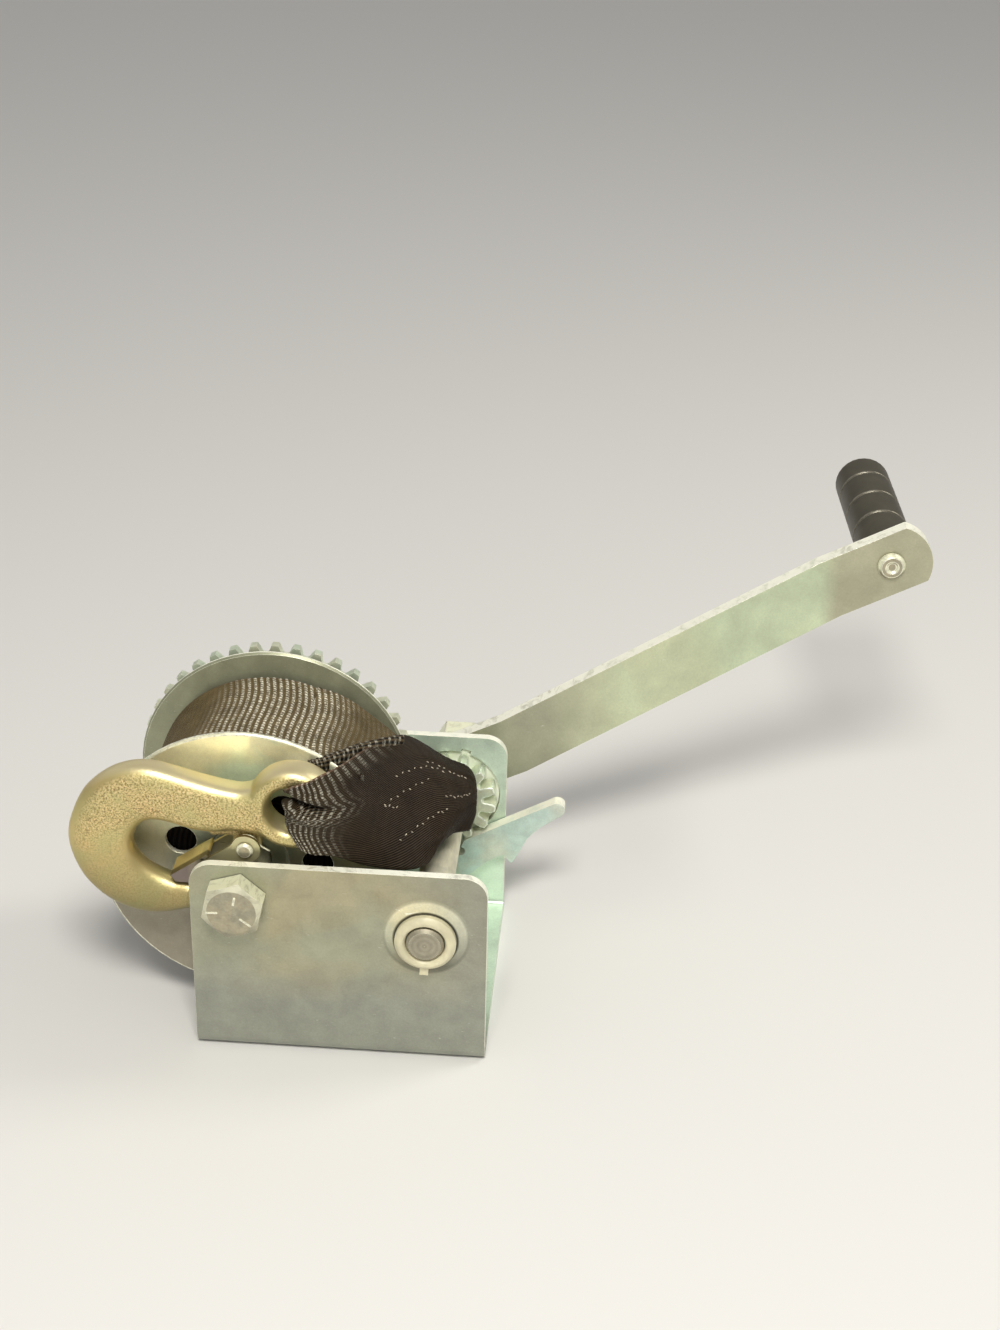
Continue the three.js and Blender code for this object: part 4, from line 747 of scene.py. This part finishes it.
# Round the hook from its eye to its point: an outer and an inner place in hook lengths from the
# eye's middle, and how square the forging's section is there.
HOOK_STATIONS = [
    (-0.1250, 0.1300, -0.1250, -0.1600, 2.9), (-0.1700, 0.0980, -0.1620, -0.1420, 3.0),
    (-0.2260, 0.0790, -0.2143, -0.1325, 3.1), (-0.2792, 0.0831, -0.2792, -0.1325, 3.2),
    (-0.3377, 0.0948, -0.3377, -0.1429, 3.2), (-0.4156, 0.1143, -0.4351, -0.1377, 3.2),
    (-0.5195, 0.1455, -0.5325, -0.1104, 3.1), (-0.6234, 0.1688, -0.6013, -0.1013, 2.9),
    (-0.7208, 0.1610, -0.6494, -0.1143, 2.6), (-0.8182, 0.1169, -0.6831, -0.1442, 2.4),
    (-0.9143, 0.0260, -0.7039, -0.1818, 2.3), (-0.9766, -0.1013, -0.7117, -0.2156, 2.3),
    (-1.0000, -0.2078, -0.7117, -0.2442, 2.3), (-0.9857, -0.3117, -0.7013, -0.2805, 2.3),
    (-0.9390, -0.4221, -0.6818, -0.3117, 2.3), (-0.8571, -0.5130, -0.6545, -0.3403, 2.3),
    (-0.7558, -0.5714, -0.6169, -0.3675, 2.3), (-0.6558, -0.5896, -0.5740, -0.3896, 2.3),
    (-0.5649, -0.5792, -0.5260, -0.4039, 2.3), (-0.4870, -0.5558, -0.4779, -0.4078, 2.3)]


def rounded(angle, wide, thick, square):
    """A point on a rounded section: a circle's, an oval's or nearly a rectangle's."""
    c, n = math.cos(angle), math.sin(angle)
    return (math.copysign(abs(c) ** (2 / square), c) * wide,
            math.copysign(abs(n) ** (2 / square), n) * thick)


def hook_bar():
    """The bar of the hook, swept through its stations and closed with a round point."""
    stations = [Vector(row[:4]) for row in HOOK_STATIONS]
    steps, sides = 170, 40
    point_rings, ring_swing = 12, 7.2
    squareness = [row[4] for row in HOOK_STATIONS]
    rings = []
    for i in range(steps + point_rings + 1):
        s = min(i / steps, 1.0)
        ox, oz, ix, iz = catmull(stations, s)
        square = catmull(squareness, s)
        outer = EYE + Vector((ox, 0, oz)) * HOOK_LENGTH
        inner = EYE + Vector((ix, 0, iz)) * HOOK_LENGTH
        middle, half = (outer + inner) / 2, (outer - inner) / 2
        wide = half.length
        shrink = 1.0
        if i > steps:
            # The rounded point runs on along the bar.
            ahead = Vector((half.z, 0, -half.x)).normalized()
            swing = math.radians((i - steps) * ring_swing)
            middle = middle - ahead * wide * 0.95 * math.sin(swing)
            shrink = max(math.cos(swing), 0.05)
        across = half.normalized()
        ring = []
        for k in range(sides):
            u, y = rounded(TURN * k / sides, wide * shrink, HOOK_HALF * shrink ** 0.7, square)
            ring.append((middle + across * u + Vector((0, y, 0))) * MM)
        rings.append(ring)
    return grid_mesh("hook_bar", rings, close_ends=True)


def hook_eye():
    middle, wide = (EYE_HOLE + EYE_OUTER) / 2, (EYE_OUTER - EYE_HOLE) / 2
    sides, square = 32, 2.5
    profile = []
    for k in range(sides + 1):
        u, y = rounded(TURN * k / sides, wide, HOOK_HALF, square)
        profile.append((middle + u, y))
    return turned("hook_eye", profile, 120, EYE)


def hook_lug():
    """The lug under the shank: a flat ring round the latch's rivet, and the web above it."""
    half, bore, outer = 1.5, 2.3, 5.0
    profile = [(bore, -half), (outer, -half), (outer, half), (bore, half), (bore, -half)]
    ring = turned("lug_ring", profile, 48, LATCH_PIVOT)
    rise = LATCH_PIVOT.z + 2.6
    outline = [(-47.5, 84.6), (-44.0, 79.6), (-37.0, rise), (-27.2, rise), (-26.6, 84.6)]
    rings = [[Vector((x, HOOK_Y + y, z)) * MM for x, z in outline] for y in (-half, half)]
    return ring, grid_mesh("lug_web", rings, close_ends=True)


def hook_piece():
    """The forging: bar, eye and lug melted into each other."""
    bm = bmesh.new()
    for mesh in (hook_bar(), hook_eye(), *hook_lug()):
        bm.from_mesh(mesh)
        bpy.data.meshes.remove(mesh)
    piece = new_piece("hook_forging", mesh_of("hook_forging", bm), "hook")
    remesh = piece.modifiers.new("skin", "REMESH")
    remesh.mode = "VOXEL"
    remesh.voxel_size = 0.42 * MM
    remesh.use_smooth_shade = True
    melt = piece.modifiers.new("melt", "SMOOTH")
    melt.factor = 0.5
    melt.iterations = 14


# ---------------------------------------------------------------- strap

STRAP_NEAR, STRAP_FAR = -18.85, 31.15
STRAP_WIDTH = STRAP_FAR - STRAP_NEAR
ROLL_RADIUS = 42.7
ROLL_LEAVE = 61.0


def on_roll(degrees, radius, y):
    """A place round the drum, in mm."""
    angle = math.radians(degrees)
    return Vector((DRUM_X + radius * math.cos(angle), y, DRUM_Z + radius * math.sin(angle)))


def rib_lean(y):
    """How far along the strap a rib has drifted at a place across it, in mm."""
    t = (y - STRAP_NEAR) / STRAP_WIDTH
    return 4.2 * t + 1.3 * math.sin(TURN * (t * 0.9 + 0.1))


def rib_height(along, across, painted_glint):
    """The webbing's relief in mm: round ribs across it, beaded by the yarns that bind them."""
    rib = math.cos(TURN * along / RIB_PITCH)
    yarn = math.cos(TURN * across / (2 * YARN_PITCH))
    return (0.15 * rib + 0.04 * yarn * max(0.0, rib)) * (0.25 + 0.75 * painted_glint)


def ease(low, high, x):
    """A soft step from 0 at low to 1 at high."""
    t = min(max((x - low) / (high - low), 0.0), 1.0)
    return t * t * (3 - 2 * t)


def add_glint_rim_and_fade(mesh, painted_glints, rims, lightened):
    """Stores the painted glint, rim and fade attributes. The last argument is 1 where the ground is lighter brown
    and 0 where it stays black; the painted glint lifts the fade too, as painted light.
    """
    fades = [max(lightened, 0.3 * painted_glint) for painted_glint in painted_glints]
    for name, values in (("painted_glint", painted_glints), ("rim", rims), ("fade", fades)):
        layer = mesh.attributes.new(name, "FLOAT", "POINT")
        layer.data.foreach_set("value", values)


def layer_mesh(name, rows, columns, place, sparser, under_painted_glint, lightened, sharp):
    """A closed layer of webbing. place(s, t) gives its upper and lower points in mm, its UV, how
    bright its ribs are and how much its cut edge shows, for s along and t across, from 0 to 1. The
    lower face has fewer points across, by sparser."""
    rings, uvs, painted_glints, rims = [], [], [], []
    for i in range(rows + 1):
        ring, under = [], []
        for j in range(columns + 1):
            upper, lower, uv, painted_glint, rim = place(i / rows, j / columns)
            ring.append(upper * MM)
            uvs.append(uv)
            painted_glints.append(painted_glint)
            rims.append(rim)
            if j % sparser == 0 or j == columns:
                under.append((lower * MM, uv))
        for lower, uv in reversed(under):
            ring.append(lower)
            uvs.append(uv)
            painted_glints.append(under_painted_glint)
            rims.append(0.0)
        rings.append(ring)
    mesh = grid_mesh(name, rings, close_ends=True, uvs=uvs)
    add_glint_rim_and_fade(mesh, painted_glints, rims, lightened)
    smooth(mesh, sharp)
    return mesh


def strip_piece(name, path, steps, node, thickness=lambda s: STRAP_THICK):
    """A strap as a closed strip. path(s, y) gives a point on its outer face, in mm, its outward
    direction, its distance along and how bright its ribs are."""
    def place(s, t):
        y = STRAP_NEAR + STRAP_WIDTH * t
        point, out, along, painted_glint = path(s, y)
        at, across = along + rib_lean(y), y - STRAP_NEAR
        edge = min(t, 1 - t) * STRAP_WIDTH
        droop = 0.55 * max(0.0, 1 - edge / 0.9) ** 2
        relief = rib_height(at, across, painted_glint) * min(1.0, edge / 0.8)
        return (point + out * (relief - droop), point - out * (thickness(s) - droop),
                (at * MM, across * MM), painted_glint, 1 - ease(0.3, 1.6, edge))

    mesh = layer_mesh(name, steps, 60, place, sparser=2, under_painted_glint=0.2, lightened=1.0, sharp=50)
    new_piece(name, mesh, node)


def roll_path(s, y):
    """The outer turn, from where the strap leaves it back round to its inner end."""
    back = s * 359 / 360
    degrees = ROLL_LEAVE + 360 * back
    radius = ROLL_RADIUS - STRAP_THICK * back
    # A worn, lightly creased surface.
    crease = 0.15 * noise.noise(Vector((degrees * 0.05, y * 0.06, 3.1)))
    along = -back * TURN * (ROLL_RADIUS - STRAP_THICK / 2)
    place = on_roll(degrees, radius - 0.25 + crease, y)
    angle = math.radians(degrees)
    # Painted glints on the ribs along the top of the roll, gone before its far side.
    painted_glint = 1 - ease(96, 126, degrees + 0.25 * y)
    return place, Vector((math.cos(angle), 0, math.sin(angle))), along, painted_glint


# The lead's upper face, in mm: from under the fold down to the roll.
LEAD_TOP = [Vector(p) for p in [
    (-17.4, 0, 101.15), (-14.6, 0, 100.6), (-12.2, 0, 100.2), (-8.6, 0, 98.9), (-4.6, 0, 96.4),
    (-0.2, 0, 92.7), (5.4, 0, 87.9), (10.6, 0, 83.3), (15.4, 0, 79.1), (20.4, 0, 75.2),
    (25.8, 0, 71.3), (31.4, 0, 67.0), (35.2, 0, 64.2)]]
LEAD_STEPS = 120


def measured_lead():
    """The lead's length up to each of its steps, in mm."""
    lengths, last = [0.0], LEAD_TOP[0]
    for i in range(1, LEAD_STEPS + 1):
        here = catmull(LEAD_TOP, i / LEAD_STEPS)
        lengths.append(lengths[-1] + (here - last).length)
        last = here
    return lengths


LEAD_LENGTHS = measured_lead()


def lead_length(s):
    """The lead's length up to s, in mm."""
    at = min(max(s, 0.0), 1.0) * LEAD_STEPS
    i = min(int(at), LEAD_STEPS - 1)
    return LEAD_LENGTHS[i] + (LEAD_LENGTHS[i + 1] - LEAD_LENGTHS[i]) * (at - i)


def tangent_of(path, s, step=0.01):
    """The path's direction at s."""
    return (catmull(path, min(1, s + step)) - catmull(path, max(0, s - step))).normalized()


def lead_path(s, y):
    """The lead, whose near edge is drawn in under the fold, and buckles as it goes."""
    rib_start = -4.2
    here, tangent = catmull(LEAD_TOP, s), tangent_of(LEAD_TOP, s)
    out = Vector((-tangent.z, 0, tangent.x))
    t = (y - STRAP_NEAR) / STRAP_WIDTH
    drawn = max(0.0, s - 0.12) ** 1.1 * 46 * (1 - t) ** 1.2
    buckle = 1.1 * math.sin(3.2 * t + 7 * s) * min(1.0, 4 * s) * (1 - s)
    drop = 2.2 * (1 - t) ** 3 * min(1.0, 3 * s)
    place = Vector((here.x, y + drawn, here.z)) + out * (buckle * 0.5 - drop * 0.6)
    # The ribs' painted glint is strong by the fold and fades away towards the roll.
    return place, out, lead_length(s) + rib_start, 1 - 0.88 * ease(0.16, 0.42, s)


def lead_thickness(s):
    """The lead is thin at its cut end, under the fold."""
    return min(STRAP_THICK, 0.35 + 14 * s)


# The upper layer's face, in mm: rows from inside the hook's eye to the fold and under it, each
# from the strap's far edge to its near one.
TAIL_ROWS = [[Vector(p) for p in row] for row in [
    [(-14.8, -37.5, 100.1), (-15.8, -38, 96.1), (-16.2, -38.5, 90.9), (-16.1, -38, 84.7),
     (-14.3, -37.5, 78.6)],
    [(-16.8, -43, 103.7), (-16.9, -43.6, 99.5), (-17.6, -43.8, 94.1), (-16.9, -43.8, 88.8),
     (-13.1, -43, 79.7)],
    [(-11.3, -44, 106.4), (-10.9, -44.8, 101.8), (-11.3, -45.2, 95.4), (-11.2, -45, 87.9),
     (-8.7, -43.5, 78.3)],
    [(-5.6, -42, 108.8), (-4.1, -44.2, 103), (-3.8, -45, 95.8), (-3.6, -44.8, 87.5), (-1.1, -43, 77.7)],
    [(1.1, -29, 107.2), (4.9, -35.5, 102.8), (6.8, -38.3, 94.6), (7.6, -39.8, 84.3), (8.7, -38.5, 72)],
    [(6.7, 3, 96.2), (12.5, -8, 94.6), (16.4, -18, 89.8), (18.7, -26.5, 80.5), (20.5, -30, 65.6)],
    [(14.5, 26.5, 86.7), (21, 16, 85), (26, 2, 82.2), (28.5, -11.5, 75.7), (27.9, -22.5, 64)],
    [(28.7, 30.3, 75.6), (31.6, 22, 75.9), (34.6, 9, 74.8), (35.2, -5, 72), (30.5, -16, 66)],
    [(36, 30.3, 72.7), (38.1, 24, 71.8), (39.5, 15, 70.2), (39.5, 4.5, 68.8), (34.5, -5, 65)],
    [(38.9, 30.2, 68.7), (40.4, 22.5, 67.8), (41.2, 15, 67.4), (41.5, 8, 65.5), (40, 1.5, 63)],
    [(38.4, 30, 65.6), (40, 22, 64.3), (40.7, 15.5, 63.7), (40.8, 10, 61.7), (40.1, 4.5, 60.5)],
]]
# The ribs and stitches are spaced as on a layer this long. The face itself is longer.
RIBBED_LENGTH = 84.0
TAIL_THICK = 2.1


def tail_face(u, v):
    """The smooth face through the rows: u runs along the layer, v from its far edge to its near."""
    return catmull([catmull(list(column), u) for column in zip(*TAIL_ROWS)], v)


def bell(x, width):
    return math.exp(-(x / width) ** 2)


# The mouth that the layer folds into beside the eye, in the layer's own u and v.
MOUTH = [Vector((u, v, 0)) for u, v in [
    (0.06, 0.10), (0.125, 0.19), (0.167, 0.333), (0.208, 0.40), (0.25, 0.433), (0.29, 0.45),
    (0.36, 0.46)]]


def mouth_at(u):
    """Where across the layer the mouth lies at u."""
    for here, ahead in zip(MOUTH, MOUTH[1:]):
        if u <= ahead.x:
            share = max(0.0, (u - here.x) / (ahead.x - here.x))
            return here.y + (ahead.y - here.y) * share
    return MOUTH[-1].y


def tail_relief(u, v):
    """The folds pressed into the upper layer, in mm outwards."""
    depth = 0.0
    if u < 0.42:
        opening = ease(0.37, 0.16, u)
        from_mouth = v - mouth_at(u)
        depth -= 7.0 * opening * bell(from_mouth, 0.034 + 0.022 * opening)
        depth += 1.5 * opening * bell(from_mouth + 0.12, 0.065)
        depth += 1.7 * opening * bell(from_mouth - 0.15, 0.09)
    # Long puckers drawn along the stitching.
    for start, end, at, slope, size, width in (
            (0.50, 0.98, 0.30, 0.05, -0.32, 0.022), (0.42, 0.86, 0.56, -0.30, -0.38, 0.022),
            (0.46, 0.92, 0.80, -0.42, -0.45, 0.024), (0.46, 0.80, 0.95, -0.26, -0.35, 0.022),
            (0.60, 0.96, 0.66, -0.10, -0.25, 0.02)):
        if start < u < end:
            fade = min(1.0, (u - start) * 8, (end - u) * 8)
            wander = 0.02 * noise.noise(Vector((u * 9, at * 11, 0.7)))
            off = v - at - slope * (u - start) - wander
            depth += size * fade * (bell(off, width) - 0.5 * bell(off + 0.05, 0.04))
    depth += 0.8 * noise.noise(Vector((u * 4.5, v * 3.2, 1.3))) * min(1.0, u * 4)
    depth += 0.18 * noise.noise(Vector((u * 14, v * 9, 5.3)))
    return depth


# Places across the layer, and how far each rib has drifted there, in shares of RIBBED_LENGTH.
RIB_SHIFT = [(0.0, -0.02), (0.25, -0.008), (0.35, 0.005), (0.45, 0.033), (0.533, 0.015),
             (0.583, -0.035), (0.65, -0.08), (0.8, -0.09), (1.0, -0.08)]


def rib_shift(v):
    """The ribs' drift at v, eased between the places of RIB_SHIFT."""
    for (low, here), (high, ahead) in zip(RIB_SHIFT, RIB_SHIFT[1:]):
        if v <= high:
            return here + (ahead - here) * ease(low, high, v)
    return RIB_SHIFT[-1][1]


def tail_painted_glint(u, v):
    """Painted glints on the ribs: strong beside the eye and along the layer's upper edge."""
    left = 1 - ease(0.24, 0.42, u - rib_shift(v) * 0.6)
    upper = 0.6 * (1 - ease(0.10, 0.22, v)) * (1 - ease(0.40, 0.58, u))
    inside = max(bell(v - mouth_at(u) + 0.02, 0.075) * ease(0.36, 0.28, u),
                 ease(0.17, 0.10, u) * ease(0.34, 0.26, v))
    return 0.62 * max(left, upper) * (1 - inside) * ease(0.03, 0.10, u)


def tail_axes(u, v, step=0.004):
    """The face's directions along u and v, and outwards."""
    du = tail_face(min(1, u + step), v) - tail_face(max(0, u - step), v)
    dv = tail_face(u, min(1, v + step)) - tail_face(u, max(0, v - step))
    return du.normalized(), dv.normalized(), dv.cross(du).normalized()


def tail_place(u, v):
    """What layer_mesh asks of the upper layer, from the loop in the hook's eye to the fold."""
    at, out = tail_face(u, v), tail_axes(u, v)[2]
    along = RIBBED_LENGTH * (u - rib_shift(v))
    # The yarns spread where the gathered layer widens.
    across = STRAP_WIDTH * v * (1 + 0.9 * max(0, u - 0.3))
    painted_glint, relief = tail_painted_glint(u, v), tail_relief(u, v)
    edge = min(v, 1 - v) * STRAP_WIDTH
    round_edge = 0.8 * max(0.0, 1 - edge / 1.3) ** 2
    ribs = rib_height(along, across, painted_glint) * 0.8
    return (at + out * (relief + ribs - round_edge), at + out * (relief - TAIL_THICK + round_edge),
            (along * MM, across * MM), painted_glint, 1 - ease(0.2, 1.4, STRAP_WIDTH * v))


def band(name, path, width, thick, upright, painted_glint):
    """A flattened tube of webbing along a path in mm. width(s) and thick(s) are its half sizes,
    and it is widest towards upright."""
    steps, sides, square, waves = 90, 28, 2.5, 11
    rings, uvs = [], []
    for i in range(steps + 1):
        s = i / steps
        here, tangent = catmull(path, s), tangent_of(path, s)
        wide = (upright - tangent * upright.dot(tangent)).normalized()
        off = tangent.cross(wide)
        swell = 1 + 0.05 * math.cos(TURN * s * waves)
        ring = []
        for k in range(sides):
            w, d = rounded(TURN * k / sides, width(s), thick(s), square)
            ring.append((here + wide * w * swell + off * d * swell) * MM)
            uvs.append((s * steps * 0.5 * MM, (k / sides * 2 * (width(s) + thick(s))) * MM))
        rings.append(ring)
    mesh = grid_mesh(name, rings, close_ends=True, uvs=uvs)
    count = len(mesh.vertices)
    # An even painted glint on its ribs, and no cut edge.
    add_glint_rim_and_fade(mesh, [painted_glint] * count, [0.0] * count, 0.0)
    smooth(mesh, 60)
    return mesh


def tail_hem():
    """The doubled edge of the loop's rear layer, which shows above the upper layer."""
    path = [Vector(p) for p in [(-11.6, -27.5, 102.4), (-9.0, -26.5, 102.9), (-5.4, -23.5, 103.1),
                                (-1.4, -16.0, 101.3), (3.0, -6.0, 98.2), (9.5, 6.0, 94.2),
                                (14.4, 15.0, 90.5)]]
    mesh = band("strap_hem", path, lambda s: 3.4 - 1.6 * s, lambda s: 1.9 - 0.9 * s,
                Vector((0.25, 0.3, -1)), 0.45)
    new_piece("strap_hem", mesh, "strap_tail", extra=True)


def tail_loop():
    """The gathered strap through the hook's eye and back behind it."""
    path = [Vector(p) for p in [(-14.2, -38.6, 93), (-13.2, -35, 93), (-12.2, -30.5, 93),
                                (-9.5, -27.75, 93), (-4, -27.6, 93), (2, -28, 93), (6.5, -31, 93)]]
    high = [5.6, 4.8, 5.2, 7, 9.5, 10.5, 10.5]
    deep = [2.0, 2.3, 1.6, 0.85, 0.85, 0.9, 1]
    mesh = band("strap_loop", path, lambda s: catmull(high, s), lambda s: catmull(deep, s),
                Vector((0, 0, 1)), 0.3)
    new_piece("strap_loop", mesh, "strap_tail", extra=True)


def stitches():
    """Rows of raised stitches on the upper layer: each one's start, end, place across and slope."""
    bm = bmesh.new()
    spacing, radius, raised = 1.4, 0.6, 0.05
    rows = ((0.50, 0.66, 0.385, 0.0), (0.455, 0.60, 0.56, -0.5), (0.49, 0.66, 0.825, -0.8),
            (0.64, 0.78, 0.60, -0.5), (0.46, 0.50, 0.56, 1.6), (0.60, 0.76, 0.33, 0.1))
    for start, end, at, slope in rows:
        count = max(4, int((end - start) * RIBBED_LENGTH / spacing))
        for i in range(count):
            u = start + (end - start) * (i + 0.5) / count
            v = at + slope * (u - start) + 0.005 * (-1) ** i
            du, dv, out = tail_axes(u, v)
            lean = (du + dv * 0.5 * (-1) ** i).normalized()
            centre = tail_face(u, v) + out * (tail_relief(u, v) + raised)
            turn = Matrix((lean, out.cross(lean), out)).transposed().to_4x4()
            size = Matrix.Diagonal((1.0, 0.4, 0.4, 1))
            bmesh.ops.create_uvsphere(bm, u_segments=8, v_segments=6, radius=radius * MM,
                                      matrix=Matrix.Translation(centre * MM) @ turn @ size)
    mesh = mesh_of("strap_stitches", bm)
    mesh.shade_smooth()
    new_piece("strap_stitches", mesh, "strap_tail", materials["strap_thread"], extra=True)


def strap_pieces():
    dressed("strap_core", 0.5, 3, "strap_core_turns", finish="webbing_side")
    strip_piece("strap_roll", roll_path, 1000, "strap_outer_turn")
    strip_piece("strap_lead_layer", lead_path, 260, "strap_lead", lead_thickness)
    mesh = layer_mesh("strap_tail_layer", 260, 160, tail_place, sparser=3, under_painted_glint=0.0,
                      lightened=0.0, sharp=60)
    new_piece("strap_tail_layer", mesh, "strap_tail")
    tail_hem()
    tail_loop()
    stitches()


make_camera()
for lamp in LAMPS:
    make_lamp(*lamp)
make_room()
make_floor()
make_materials()
metal_pieces()
hook_piece()
strap_pieces()
dressed("grip", 0.5, 3, "grip_sleeve", rim="grip_edge")
bpy.context.scene.view_settings.view_transform = "Standard"
